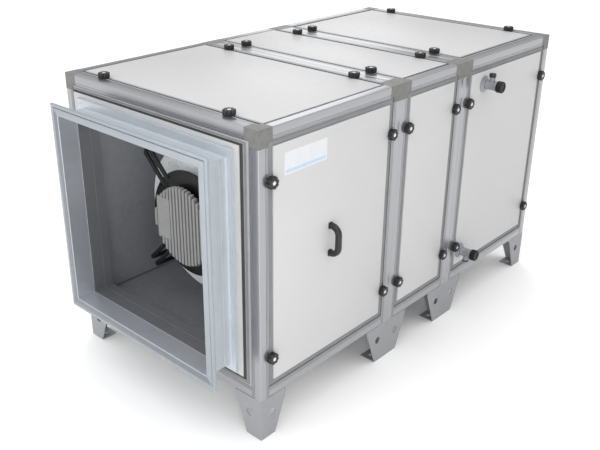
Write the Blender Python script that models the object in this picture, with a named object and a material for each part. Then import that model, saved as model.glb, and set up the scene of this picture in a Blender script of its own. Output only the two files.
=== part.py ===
"""Modular heat recovery unit: three bolted casing sections with a plug fan, a
filter and a run-around coil.

Design frame: x across the casing (service side at +x), y along it from the
front face to the rear face, z up from the underside of the casing.
Metres. OFFSET moves that frame so that the world origin is at the middle of
the overall box, on the ground.
"""

import math

import bmesh
import bpy
from mathutils import Matrix, Vector

# ---------------------------------------------------------------- dimensions
CASE_W = 1.030          # casing width, x
CASE_H = 1.000          # casing height without feet, z
CASE_L = 1.900          # casing length, y
SEAM_1 = 0.742          # joint between front and middle section
SEAM_2 = 1.1745         # joint between middle and rear section
PROFILE = 0.0425        # square frame profile
GAP = 0.0003            # gap between touching pieces
SEAM_GAP = 0.0003       # gap between two bolted sections

PANEL_T = 0.040         # sandwich panel thickness
PANEL_FIT = 0.0010      # panel clearance in its window
RIM = 0.0215            # width of the sealed rim round a panel's face
RIM_STEP = 0.003        # how far the rim lies below the face

KNOB_R = 0.0225         # clamp knob radius over the lobes
KNOB_H = 0.0200         # clamp knob height
KNOB_LOBES = 8
KNOB_IN = 0.0090        # knob centre from the inner edge of the profile
KNOB_Z_TOP = 0.8200     # side knobs, upper row
KNOB_Z_LOW = 0.1650     # side knobs, lower row
KNOB_X = 0.3350         # top knobs, either side of the middle

FOOT_H = 0.168          # height of a foot
FOOT_TOP = 0.131        # width of a foot's face at the casing
FOOT_SOLE = 0.072       # width of a foot's face at the ground
FOOT_T = 0.003          # sheet thickness of a foot
FOOT_HOLE_R = 0.0150    # lifting and anchor holes in a foot

DUCT_OUT = 0.425        # duct flange, half of its outer width
DUCT_Z = 0.500          # middle of the duct above the casing's underside
NECK_OUT = 0.386        # duct neck, half of its outer width
NECK_IN = 0.383         # duct neck, half of its clear width
COLLAR_D = 0.132        # how far the collar stands out
FLANGE_T = 0.010        # depth of the duct flange
BASE_OUT = 0.419        # collar's base frame, half of its outer width
BASE_T = 0.0145         # depth of that base frame
INLET_HALF = 0.360      # rear air inlet, half of its clear width

FAN_Z = 0.475           # fan axis above the casing's underside
MOTOR_Y = 0.105         # front of the motor's fins
MOTOR_R = 0.160
RING_Y = 0.149          # front of the black mounting ring
RING_R = 0.211
BACKPLATE_Y = 0.220     # impeller back plate
WHEEL_R = 0.300         # impeller radius
EYE_Y = 0.400           # impeller front ring
EYE_R = 0.192           # impeller inlet radius
FAN_WALL_Y = 0.497      # fan wall
BLADES = 7
BLADE_T = 0.003

HANDLE_Y = 0.356        # door handle
HANDLE_Z0 = 0.446
HANDLE_H = 0.133
HANDLE_W = 0.022

COIL_Y0, COIL_Y1 = 1.245, 1.375
PIPE_HI = (1.343, 0.879)    # upper connection, y and z
PIPE_LO = (1.277, 0.128)    # lower connection, y and z
PIPE_R = 0.0170
TEE_R = 0.0205
CAP_R = 0.0245
CAP_OUT = 0.088         # outer face of a screw cap from the casing side

FEET = FOOT_H
HALF_W = CASE_W / 2
OFFSET = Vector((-(HALF_W + CAP_OUT - HALF_W) / 2, -(CASE_L - COLLAR_D) / 2, FEET))

SECTIONS = {
    "front": (0.0, SEAM_1 - SEAM_GAP / 2),
    "middle": (SEAM_1 + SEAM_GAP / 2, SEAM_2 - SEAM_GAP / 2),
    "rear": (SEAM_2 + SEAM_GAP / 2, CASE_L),
}

# ---------------------------------------------------------------- clean scene
for old in list(bpy.data.objects):
    bpy.data.objects.remove(old, do_unlink=True)

SCENE = bpy.context.scene.collection


# ---------------------------------------------------------------- materials
def material(name, colour, rough, metal):
    mat = bpy.data.materials.new(name)
    mat.use_nodes = True
    shader = mat.node_tree.nodes["Principled BSDF"]
    shader.inputs["Base Color"].default_value = (*colour, 1.0)
    shader.inputs["Roughness"].default_value = rough
    shader.inputs["Metallic"].default_value = metal
    mat.diffuse_color = (*colour, 1.0)
    return mat


MATS = {
    "anodised_profile": material("anodised_profile", (0.52, 0.53, 0.55), 0.42, 0.9),
    "white_panel": material("white_panel", (0.80, 0.80, 0.80), 0.45, 0.0),
    "galvanised_sheet": material("galvanised_sheet", (0.50, 0.53, 0.56), 0.38, 0.9),
    "foot_steel": material("foot_steel", (0.40, 0.41, 0.42), 0.48, 0.7),
    "black_plastic": material("black_plastic", (0.025, 0.025, 0.027), 0.42, 0.0),
    "black_steel": material("black_steel", (0.02, 0.02, 0.022), 0.40, 0.2),
    "cast_aluminium": material("cast_aluminium", (0.42, 0.42, 0.42), 0.5, 0.8),
    "wheel_aluminium": material("wheel_aluminium", (0.60, 0.62, 0.63), 0.35, 0.9),
    "filter_media": material("filter_media", (0.78, 0.80, 0.80), 0.9, 0.0),
    "coil_metal": material("coil_metal", (0.50, 0.50, 0.51), 0.4, 0.9),
}


# ---------------------------------------------------------------- mesh helpers
def box(lo, hi):
    bm = bmesh.new()
    bmesh.ops.create_cube(bm, size=1.0)
    size = [hi[i] - lo[i] for i in range(3)]
    mid = [(hi[i] + lo[i]) / 2 for i in range(3)]
    bmesh.ops.scale(bm, vec=size, verts=bm.verts)
    bmesh.ops.translate(bm, vec=mid, verts=bm.verts)
    return bm


def frame_map(axis):
    """Rotation that carries +z to the named axis, keeping the mesh right-handed."""
    return {
        "x": Matrix(((0, 0, 1), (1, 0, 0), (0, 1, 0))),
        "y": Matrix(((1, 0, 0), (0, 0, 1), (0, 1, 0))),
        "z": Matrix.Identity(3),
    }[axis]


def prism(points, axis, lo, hi):
    """Outline extruded from lo to hi along axis.

    The outline's coordinates are (y, z) for x, (x, z) for y and (x, y) for z.
    """
    bm = bmesh.new()
    turn = frame_map(axis)
    low = [bm.verts.new(turn @ Vector((a, b, lo))) for a, b in points]
    high = [bm.verts.new(turn @ Vector((a, b, hi))) for a, b in points]
    count = len(points)
    bm.faces.new(list(reversed(low)))
    bm.faces.new(high)
    for i in range(count):
        j = (i + 1) % count
        bm.faces.new((low[i], low[j], high[j], high[i]))
    bmesh.ops.recalc_face_normals(bm, faces=bm.faces)
    return bm


def circle(centre, radius, sides, turn=0.0):
    return [
        (
            centre[0] + radius * math.cos(turn + 2 * math.pi * i / sides),
            centre[1] + radius * math.sin(turn + 2 * math.pi * i / sides),
        )
        for i in range(sides)
    ]


def rod(axis, centre, radius, lo, hi, sides=20, turn=0.0):
    return prism(circle(centre, radius, sides, turn), axis, lo, hi)


def lathe(profile, axis, centre, sides):
    """Closed outline of (radius, along) points turned round an axis."""
    bm = bmesh.new()
    turn = frame_map(axis)
    rings = []
    for radius, along in profile:
        ring = []
        if radius < 1e-6:
            ring.append(bm.verts.new(turn @ Vector((centre[0], centre[1], along))))
        else:
            for a, b in circle(centre, radius, sides):
                ring.append(bm.verts.new(turn @ Vector((a, b, along))))
        rings.append(ring)
    count = len(profile)
    for i in range(count):
        one, two = rings[i], rings[(i + 1) % count]
        if len(one) == 1 and len(two) == 1:
            continue
        for k in range(sides):
            m = (k + 1) % sides
            if len(one) == 1:
                bm.faces.new((one[0], two[m], two[k]))
            elif len(two) == 1:
                bm.faces.new((one[k], one[m], two[0]))
            else:
                bm.faces.new((one[k], one[m], two[m], two[k]))
    bmesh.ops.recalc_face_normals(bm, faces=bm.faces)
    return bm


def combine(base, others, operation):
    """Boolean of bmeshes with the exact solver; the helpers are removed again."""
    def temporary(bm, name):
        mesh = bpy.data.meshes.new(name)
        bm.to_mesh(mesh)
        bm.free()
        obj = bpy.data.objects.new(name, mesh)
        SCENE.objects.link(obj)
        return obj

    body = temporary(base, "tmp_body")
    tools = []
    for i, other in enumerate(others):
        tool = temporary(other, f"tmp_tool_{i}")
        tool.hide_render = True
        tool.display_type = "WIRE"
        tools.append(tool)
        mod = body.modifiers.new(f"cut_{i}", "BOOLEAN")
        mod.operation = operation
        mod.solver = "EXACT"
        mod.object = tool
    bpy.context.view_layer.update()
    graph = bpy.context.evaluated_depsgraph_get()
    mesh = bpy.data.meshes.new_from_object(body.evaluated_get(graph))
    out = bmesh.new()
    out.from_mesh(mesh)
    bpy.data.meshes.remove(mesh)
    for obj in [body, *tools]:
        data = obj.data
        bpy.data.objects.remove(obj, do_unlink=True)
        bpy.data.meshes.remove(data)
    bmesh.ops.remove_doubles(out, verts=out.verts, dist=1e-6)
    bmesh.ops.dissolve_limit(
        out, angle_limit=math.radians(0.5), verts=out.verts, edges=out.edges
    )
    return out


def union(base, *others):
    return combine(base, others, "UNION")


def cut(base, *others):
    return combine(base, others, "DIFFERENCE")


def empty(name, origin, parent=None):
    obj = bpy.data.objects.new(name, None)
    obj.empty_display_size = 0.05
    SCENE.objects.link(obj)
    obj.parent = parent
    place = Vector(origin) + OFFSET
    if parent is not None:
        place -= parent["place"] if isinstance(parent.get("place"), Vector) else world_of(parent)
    obj.location = place
    return obj


def world_of(obj):
    total = Vector((0, 0, 0))
    while obj is not None:
        total += obj.location
        obj = obj.parent
    return total


def node(name, bm, mat, origin=None, parent=None, smooth=None):
    """Object for one piece; bm is in the design frame, origin its pivot there."""
    pivot = Vector(origin) if origin is not None else Vector((0, 0, 0))
    bmesh.ops.translate(bm, vec=-pivot, verts=bm.verts)
    mesh = bpy.data.meshes.new(name)
    bm.to_mesh(mesh)
    bm.free()
    if smooth:
        mesh.shade_smooth()
        mesh.set_sharp_from_angle(angle=math.radians(smooth))
    mesh.materials.append(MATS[mat])
    obj = bpy.data.objects.new(name, mesh)
    SCENE.objects.link(obj)
    obj.parent = parent
    obj.location = pivot + OFFSET - (world_of(parent) if parent is not None else Vector((0, 0, 0)))
    return obj


# ---------------------------------------------------------------- casing frames
def section_frame(y0, y1):
    shell = box((-HALF_W, y0, 0), (HALF_W, y1, CASE_H))
    bmesh.ops.bevel(
        shell, geom=list(shell.edges), offset=0.003, segments=1, affect="EDGES"
    )
    far = 0.05
    inner = HALF_W - PROFILE
    return cut(
        shell,
        box((-HALF_W - far, y0 + PROFILE, PROFILE), (HALF_W + far, y1 - PROFILE, CASE_H - PROFILE)),
        box((-inner, y0 - far, PROFILE), (inner, y1 + far, CASE_H - PROFILE)),
        box((-inner, y0 + PROFILE, -far), (inner, y1 - PROFILE, CASE_H + far)),
    )


for label, (y0, y1) in SECTIONS.items():
    node(f"{label}_section_frame", section_frame(y0, y1), "anodised_profile")


# ---------------------------------------------------------------- panels
def slab(corner, u, v, w, size_u, size_v):
    """Sandwich panel with a lower rim: corner on its inner face, w outwards."""
    corner, u, v, w = Vector(corner), Vector(u), Vector(v), Vector(w)
    bm = bmesh.new()

    def ring(inset, height):
        return [
            bm.verts.new(corner + u * a + v * b + w * height)
            for a, b in (
                (inset, inset),
                (size_u - inset, inset),
                (size_u - inset, size_v - inset),
                (inset, size_v - inset),
            )
        ]

    rings = [
        ring(0, 0),
        ring(0, PANEL_T - RIM_STEP),
        ring(RIM, PANEL_T - RIM_STEP),
        ring(RIM, PANEL_T),
    ]
    bm.faces.new(rings[0])
    bm.faces.new(rings[-1])
    for one, two in zip(rings, rings[1:]):
        for i in range(4):
            j = (i + 1) % 4
            bm.faces.new((one[i], one[j], two[j], two[i]))
    bmesh.ops.recalc_face_normals(bm, faces=bm.faces)
    return bm


LOW = PROFILE + PANEL_FIT
SIDE_H = CASE_H - 2 * LOW
ACROSS = CASE_W - 2 * LOW


def window(y0, y1):
    return y0 + LOW, (y1 - LOW) - (y0 + LOW)


def side_slab(y0, y1):
    start, length = window(y0, y1)
    return slab((HALF_W - PANEL_T, start, LOW), (0, 1, 0), (0, 0, 1), (1, 0, 0), length, SIDE_H)


def back_slab(y0, y1):
    start, length = window(y0, y1)
    return slab((-HALF_W + PANEL_T, start, LOW), (0, 1, 0), (0, 0, 1), (-1, 0, 0), length, SIDE_H)


def top_slab(y0, y1):
    start, length = window(y0, y1)
    return slab((-HALF_W + LOW, start, CASE_H - PANEL_T), (1, 0, 0), (0, 1, 0), (0, 0, 1), ACROSS, length)


def floor_slab(y0, y1):
    start, length = window(y0, y1)
    return slab((-HALF_W + LOW, start, PANEL_T), (1, 0, 0), (0, 1, 0), (0, 0, -1), ACROSS, length)


DOORS = {}
LIDS = {}
for label, (y0, y1) in SECTIONS.items():
    middle = (y0 + y1) / 2
    DOORS[label] = empty(f"{label}_side_slide", (HALF_W, middle, CASE_H / 2))
    LIDS[label] = empty(f"{label}_top_slide", (0, middle, CASE_H))
    node(f"{label}_back_panel", back_slab(y0, y1), "white_panel")
    node(f"{label}_top_panel", top_slab(y0, y1), "white_panel", (0, middle, CASE_H), LIDS[label])

node("front_side_door", side_slab(*SECTIONS["front"]), "white_panel",
     (HALF_W, sum(SECTIONS["front"]) / 2, CASE_H / 2), DOORS["front"])
node("middle_side_door", side_slab(*SECTIONS["middle"]), "white_panel",
     (HALF_W, sum(SECTIONS["middle"]) / 2, CASE_H / 2), DOORS["middle"])
node(
    "rear_coil_panel",
    cut(
        side_slab(*SECTIONS["rear"]),
        *[rod("x", spot, PIPE_R + 0.0015, HALF_W - 0.08, HALF_W + 0.04, 20) for spot in (PIPE_HI, PIPE_LO)],
    ),
    "white_panel",
    (HALF_W, sum(SECTIONS["rear"]) / 2, CASE_H / 2),
    DOORS["rear"],
)
node("front_floor_panel", floor_slab(*SECTIONS["front"]), "white_panel")
node("middle_floor_panel", floor_slab(*SECTIONS["middle"]), "white_panel")
DRAIN = (-0.300, 1.440)
node(
    "rear_floor_panel",
    cut(floor_slab(*SECTIONS["rear"]), rod("z", DRAIN, 0.0180, -0.05, 0.10, 20)),
    "white_panel",
)


def end_wall(inner_y, outward, half):
    wall = slab((-HALF_W + LOW, inner_y, LOW), (1, 0, 0), (0, 0, 1), (0, outward, 0), ACROSS, SIDE_H)
    return cut(
        wall,
        box((-half, inner_y - 0.1, DUCT_Z - half), (half, inner_y + 0.1, DUCT_Z + half)),
    )


node("front_end_wall", end_wall(PANEL_T, -1, NECK_IN), "white_panel")
node("rear_end_wall", end_wall(CASE_L - PANEL_T, 1, INLET_HALF), "white_panel")


# ---------------------------------------------------------------- duct collar
def square_ring(outer, inner, y0, y1):
    return cut(
        box((-outer, y0, DUCT_Z - outer), (outer, y1, DUCT_Z + outer)),
        box((-inner, y0 - 0.05, DUCT_Z - inner), (inner, y1 + 0.05, DUCT_Z + inner)),
    )


def collar():
    body = union(
        box((-NECK_OUT, -COLLAR_D + 0.002, DUCT_Z - NECK_OUT), (NECK_OUT, -GAP, DUCT_Z + NECK_OUT)),
        box((-DUCT_OUT, -COLLAR_D, DUCT_Z - DUCT_OUT), (DUCT_OUT, -COLLAR_D + FLANGE_T, DUCT_Z + DUCT_OUT)),
        box((-BASE_OUT, -BASE_T, DUCT_Z - BASE_OUT), (BASE_OUT, -GAP, DUCT_Z + BASE_OUT)),
    )
    return cut(
        body,
        box((-NECK_IN, -COLLAR_D - 0.05, DUCT_Z - NECK_IN), (NECK_IN, 0.05, DUCT_Z + NECK_IN)),
    )


node("duct_collar", collar(), "galvanised_sheet")


# ---------------------------------------------------------------- feet
def foot(corner_x, corner_y, ways):
    """Folded foot under a corner, or a back-to-back pair under a seam.

    ways holds the y directions, +1 or -1, in which the foot's sides run.
    """
    inward = -1 if corner_x > 0 else 1
    top, sole, hole_z = -GAP, -FOOT_H, -0.068

    def spread(near, far):
        """y range from near to far in every direction the foot runs."""
        ends = [corner_y + way * reach for way in ways for reach in (near, far)]
        return min(ends), max(ends)

    def xs(near, far):
        return sorted((corner_x + inward * near, corner_x + inward * far))

    nip = 0.0004    # keeps the folded faces from ending in one plane
    # side face, in the plane of the casing's side
    if len(ways) == 2:
        side = [
            (corner_y - FOOT_TOP, top - nip), (corner_y + FOOT_TOP, top - nip),
            (corner_y + FOOT_TOP, -0.014), (corner_y + FOOT_SOLE, sole + nip),
            (corner_y - FOOT_SOLE, sole + nip), (corner_y - FOOT_TOP, -0.014),
        ]
    else:
        way = ways[0]
        side = [
            (corner_y + way * nip, top - nip), (corner_y + way * FOOT_TOP, top - nip),
            (corner_y + way * FOOT_TOP, -0.014), (corner_y + way * FOOT_SOLE, sole + nip),
            (corner_y + way * nip, sole + nip),
        ]
    x_lo, x_hi = xs(0, FOOT_T)
    body = prism(side, "x", x_lo, x_hi)
    # cross face
    near_x = corner_x + inward * nip
    cross = [
        (near_x, top - 2 * nip), (corner_x + inward * FOOT_TOP, top - 2 * nip),
        (corner_x + inward * FOOT_TOP, -0.014), (corner_x + inward * (FOOT_SOLE - nip), sole + 2 * nip),
        (near_x, sole + 2 * nip),
    ]
    y_lo, y_hi = spread(0, FOOT_T)
    parts = [prism(cross, "y", y_lo, y_hi)]
    # sole plate and bolting flange under the frame
    x_lo, x_hi = xs(2 * nip, FOOT_SOLE)
    y_lo, y_hi = spread(2 * nip if len(ways) == 1 else 0, FOOT_SOLE)
    parts.append(box((x_lo, y_lo, sole), (x_hi, y_hi, sole + FOOT_T)))
    x_lo, x_hi = xs(2 * nip, PROFILE)
    y_lo, y_hi = spread(2 * nip if len(ways) == 1 else 0, FOOT_TOP - nip)
    parts.append(box((x_lo, y_lo, top - FOOT_T), (x_hi, y_hi, top)))
    body = union(body, *parts)
    holes = [
        rod("y", (corner_x + inward * 0.056, hole_z), FOOT_HOLE_R, corner_y - 0.02, corner_y + 0.02, 14)
    ]
    for way in ways:
        x_lo, x_hi = sorted((corner_x - 0.02, corner_x + 0.02))
        holes.append(rod("x", (corner_y + way * 0.058, hole_z), FOOT_HOLE_R, x_lo, x_hi, 14))
        holes.append(
            rod("z", (corner_x + inward * 0.041, corner_y + way * 0.041), 0.011, sole - 0.02, sole + 0.02, 12)
        )
    return cut(body, *holes)


for side_name, corner_x in (("right", HALF_W), ("left", -HALF_W)):
    node(f"front_{side_name}_foot", foot(corner_x, 0.0, (1,)), "foot_steel")
    node(f"front_seam_{side_name}_foot", foot(corner_x, SEAM_1, (-1, 1)), "foot_steel")
    node(f"rear_seam_{side_name}_foot", foot(corner_x, SEAM_2, (-1, 1)), "foot_steel")
    node(f"rear_{side_name}_foot", foot(corner_x, CASE_L, (-1,)), "foot_steel")


# ---------------------------------------------------------------- clamp knobs
def knob_outline(radius, depth):
    points = []
    for i in range(KNOB_LOBES * 2):
        angle = 2 * math.pi * (i + 0.5) / (KNOB_LOBES * 2)
        reach = radius if i % 2 == 0 else radius - depth
        points.append((reach * math.cos(angle), reach * math.sin(angle)))
    return points


def knob(axis, centre, base):
    """Fluted knob whose underside is at base along axis."""
    bm = bmesh.new()
    turn = frame_map(axis)
    levels = (
        (KNOB_R - 0.0015, 0.0), (KNOB_R, 0.003), (KNOB_R, KNOB_H - 0.004), (KNOB_R - 0.0045, KNOB_H),
    )
    rings = []
    for radius, height in levels:
        rings.append([
            bm.verts.new(turn @ Vector((centre[0] + a, centre[1] + b, base + height)))
            for a, b in knob_outline(radius, 0.0028)
        ])
    bm.faces.new(rings[0])
    bm.faces.new(rings[-1])
    for one, two in zip(rings, rings[1:]):
        for i in range(len(one)):
            j = (i + 1) % len(one)
            bm.faces.new((one[i], one[j], two[j], two[i]))
    bmesh.ops.recalc_face_normals(bm, faces=bm.faces)
    return bm


for label, (y0, y1) in SECTIONS.items():
    for end, y in (("a", y0 + PROFILE + KNOB_IN), ("b", y1 - PROFILE - KNOB_IN)):
        for row, z in (("upper", KNOB_Z_TOP), ("lower", KNOB_Z_LOW)):
            node(
                f"{label}_side_knob_{row}_{end}",
                knob("x", (y, z), HALF_W + GAP),
                "black_plastic",
                (HALF_W, y, z),
                DOORS[label],
                smooth=40,
            )
        for row, x in (("right", KNOB_X), ("left", -KNOB_X)):
            node(
                f"{label}_top_knob_{row}_{end}",
                knob("z", (x, y), CASE_H + GAP),
                "black_plastic",
                (x, y, CASE_H),
                LIDS[label],
                smooth=40,
            )


# ---------------------------------------------------------------- door handle
def handle():
    outer = [
        (0.0, 0.0), (0.024, 0.001), (0.040, 0.010), (0.048, 0.026), (0.050, 0.046),
        (0.050, HANDLE_H - 0.046), (0.048, HANDLE_H - 0.026), (0.040, HANDLE_H - 0.010),
        (0.024, HANDLE_H - 0.001), (0.0, HANDLE_H),
    ]
    inner = [
        (0.0, HANDLE_H - 0.026), (0.020, HANDLE_H - 0.028), (0.031, HANDLE_H - 0.036),
        (0.035, HANDLE_H - 0.050), (0.035, 0.050), (0.031, 0.036), (0.020, 0.028), (0.0, 0.026),
    ]
    points = [(HALF_W + GAP + a, HANDLE_Z0 + b) for a, b in outer + inner]
    bm = prism(points, "y", HANDLE_Y - HANDLE_W / 2, HANDLE_Y + HANDLE_W / 2)
    return bm


node("door_handle", handle(), "black_plastic", (HALF_W, HANDLE_Y, HANDLE_Z0), DOORS["front"])

# ---------------------------------------------------------------- plug fan
AXIS = (0.0, FAN_Z)


def fan_wall():
    half, low, high = HALF_W - PROFILE - GAP, PROFILE + GAP, CASE_H - PROFILE - GAP
    sheet = cut(
        box((-half, FAN_WALL_Y, low), (half, FAN_WALL_Y + 0.003, high)),
        rod("y", AXIS, 0.218, FAN_WALL_Y - 0.05, FAN_WALL_Y + 0.05, 36),
    )
    mouth = lathe(
        [
            (0.224, FAN_WALL_Y + 0.003), (0.224, FAN_WALL_Y), (0.212, FAN_WALL_Y - 0.004),
            (0.196, FAN_WALL_Y - 0.024), (0.182, FAN_WALL_Y - 0.060), (0.180, FAN_WALL_Y - 0.108),
            (0.177, FAN_WALL_Y - 0.108), (0.179, FAN_WALL_Y - 0.060), (0.192, FAN_WALL_Y - 0.022),
            (0.208, FAN_WALL_Y + 0.001), (0.214, FAN_WALL_Y + 0.003),
        ],
        "y", AXIS, 36,
    )
    return union(sheet, mouth)


node("fan_wall", fan_wall(), "galvanised_sheet", smooth=30)

ARM_R = 0.362           # radius at which the bracket's arms turn back
ARM_T = 0.016           # arm bar thickness
ARM_SPREAD = 0.017      # half the distance between an arm's two bars


def bracket():
    ring = lathe(
        [(0.128, RING_Y), (RING_R, RING_Y), (RING_R, RING_Y + 0.011), (0.128, RING_Y + 0.011)],
        "y", AXIS, 40,
    )
    bars = []
    for quarter in range(4):
        angle = math.radians(45 + 90 * quarter)
        out = Vector((math.cos(angle), 0, math.sin(angle)))
        across = Vector((-math.sin(angle), 0, math.cos(angle)))
        middle = Vector((0, 0, FAN_Z))
        turn = Matrix((out, (0, 1, 0), across)).transposed()
        for side in (-ARM_SPREAD, ARM_SPREAD):
            for lo, hi in (
                ((0.150, RING_Y - 0.004, side - ARM_T / 2), (ARM_R, RING_Y + 0.014, side + ARM_T / 2)),
                ((ARM_R - ARM_T, RING_Y + 0.002, side - ARM_T / 2 + 0.001),
                 (ARM_R - 0.001, FAN_WALL_Y - 0.008, side + ARM_T / 2 - 0.001)),
            ):
                bar = box(lo, hi)
                bmesh.ops.transform(bar, matrix=turn.to_4x4(), verts=bar.verts)
                bmesh.ops.translate(bar, vec=middle, verts=bar.verts)
                bars.append(bar)
        pad = box(
            (ARM_R - ARM_T - 0.006, FAN_WALL_Y - 0.012, -0.040), (ARM_R + 0.012, FAN_WALL_Y - GAP, 0.040)
        )
        bmesh.ops.transform(pad, matrix=turn.to_4x4(), verts=pad.verts)
        bmesh.ops.translate(pad, vec=middle, verts=pad.verts)
        bars.append(pad)
    body = union(ring, *bars)
    # the arms stop short of the rotor
    return cut(body, rod("y", AXIS, 0.1285, RING_Y - 0.02, RING_Y + 0.03, 40))


node("fan_bracket", bracket(), "black_steel")

FINS = 11
SPINDLE_R = 0.0200


def motor():
    """Electronics housing with upright cooling fins, and the rotor's spindle."""
    pitch = 2 * MOTOR_R / FINS
    rim = RING_Y - 0.0045
    root = MOTOR_Y + 0.018
    comb = [(-MOTOR_R - 0.01, rim), (-MOTOR_R - 0.01, root)]
    for i in range(FINS):
        start = -MOTOR_R + pitch * (i + 0.20)
        stop = -MOTOR_R + pitch * (i + 0.80)
        comb += [(start, root), (start, MOTOR_Y), (stop, MOTOR_Y), (stop, root)]
    comb += [(MOTOR_R + 0.01, root), (MOTOR_R + 0.01, rim)]
    fins = prism(comb, "z", FAN_Z - MOTOR_R - 0.01, FAN_Z + MOTOR_R + 0.01)
    drum = combine(
        fins, [rod("y", AXIS, MOTOR_R, MOTOR_Y - 0.01, RING_Y + 0.01, 40)], "INTERSECT"
    )
    return union(
        drum,
        rod("y", AXIS, 0.122, rim - 0.004, RING_Y + 0.012, 32),
        rod("y", AXIS, SPINDLE_R, RING_Y, BACKPLATE_Y + 0.030, 32),
    )


node("fan_motor", motor(), "cast_aluminium")


def impeller():
    """Rotor cup, back plate, backward-curved blades and inlet ring."""
    cup_y = RING_Y + 0.0135
    back = lathe(
        [
            (SPINDLE_R + 0.0007, cup_y), (0.112, cup_y), (0.118, cup_y + 0.006),
            (0.118, BACKPLATE_Y), (WHEEL_R, BACKPLATE_Y), (WHEEL_R, BACKPLATE_Y + 0.004),
            (0.118, BACKPLATE_Y + 0.004), (0.118, BACKPLATE_Y + 0.052), (0.104, BACKPLATE_Y + 0.066),
            (0.0, BACKPLATE_Y + 0.066), (0.0, BACKPLATE_Y + 0.034), (SPINDLE_R + 0.0007, BACKPLATE_Y + 0.034),
        ],
        "y", AXIS, 40,
    )
    front = lathe(
        [
            (EYE_R, EYE_Y), (EYE_R, EYE_Y - 0.004), (0.240, EYE_Y - 0.022), (WHEEL_R, EYE_Y - 0.030),
            (WHEEL_R, EYE_Y - 0.026), (0.240, EYE_Y - 0.017), (EYE_R + 0.006, EYE_Y + 0.001),
            (EYE_R + 0.004, EYE_Y + 0.006), (EYE_R, EYE_Y + 0.006),
        ],
        "y", AXIS, 40,
    )
    blades = []
    for i in range(BLADES):
        turn = 2 * math.pi * i / BLADES
        line = []
        for k in range(6):
            t = k / 5
            radius = 0.165 + (WHEEL_R - 0.004 - 0.165) * t
            angle = turn + 0.95 * t - 0.25 * t * t
            line.append(Vector((radius * math.cos(angle), FAN_Z + radius * math.sin(angle))))
        left, right = [], []
        for k, point in enumerate(line):
            along = (line[min(k + 1, 5)] - line[max(k - 1, 0)]).normalized()
            normal = Vector((-along.y, along.x)) * BLADE_T / 2
            left.append(tuple(point + normal))
            right.append(tuple(point - normal))
        outline = left + right[::-1]
        blades.append(prism(outline, "y", BACKPLATE_Y + 0.002, EYE_Y - 0.012))
    body = union(back, *blades)
    # the blades' front edges follow the inlet ring
    trim = lathe(
        [(0.10, EYE_Y + 0.05), (0.10, EYE_Y - 0.003), (EYE_R + 0.002, EYE_Y - 0.003), (0.240, EYE_Y - 0.0195),
         (WHEEL_R + 0.02, EYE_Y - 0.0285), (WHEEL_R + 0.02, EYE_Y + 0.05)],
        "y", AXIS, 40,
    )
    body = cut(body, trim)
    return union(body, front)


ROTOR = empty("fan_axis", (0.0, BACKPLATE_Y, FAN_Z))
node("fan_impeller", impeller(), "wheel_aluminium", (0.0, BACKPLATE_Y, FAN_Z), ROTOR, smooth=30)


# ---------------------------------------------------------------- air filter
FILTER_Y0, FILTER_Y1 = 1.700, 1.796


def air_filter():
    half, low, high = HALF_W - PANEL_T - 0.006, PANEL_T + 0.004, CASE_H - PANEL_T - 0.006
    border = 0.028
    surround = cut(
        box((-half, FILTER_Y0, low), (half, FILTER_Y1, high)),
        box((-half + border, FILTER_Y0 - 0.05, low + border), (half - border, FILTER_Y1 + 0.05, high - border)),
    )
    pleats, thick = 26, 0.0035
    span = 2 * (half - border + 0.004)
    start = -span / 2
    near, far = FILTER_Y0 + 0.012, FILTER_Y1 - 0.012
    crest = [(start + span * i / (2 * pleats), near if i % 2 == 0 else far) for i in range(2 * pleats + 1)]
    outline = [(x, y - thick) for x, y in crest] + [(x, y + thick) for x, y in reversed(crest)]
    media = prism(outline, "z", low + border - 0.004, high - border + 0.004)
    return union(surround, media)


node("air_filter", air_filter(), "filter_media")


# ---------------------------------------------------------------- drip tray
TRAY_Z = PANEL_T + 0.002
TRAY_RIM = 0.080


def drip_tray():
    lo = (-0.460, 1.222, TRAY_Z)
    hi = (0.460, 1.500, TRAY_RIM)
    wall = 0.002
    tray = cut(
        box(lo, hi),
        box((lo[0] + wall, lo[1] + wall, lo[2] + wall), (hi[0] - wall, hi[1] - wall, hi[2] + 0.05)),
    )
    rails = [
        box((lo[0] + 0.001, y - 0.006, lo[2] + 0.001), (hi[0] - 0.001, y + 0.006, 0.0837))
        for y in (COIL_Y0 + 0.020, COIL_Y1 - 0.020)
    ]
    tray = union(tray, *rails, rod("z", DRAIN, 0.0160, -0.045, TRAY_Z + 0.001, 20))
    return cut(tray, rod("z", DRAIN, 0.0130, -0.06, TRAY_Z + 0.02, 20))


node("drip_tray", drip_tray(), "galvanised_sheet")


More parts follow.
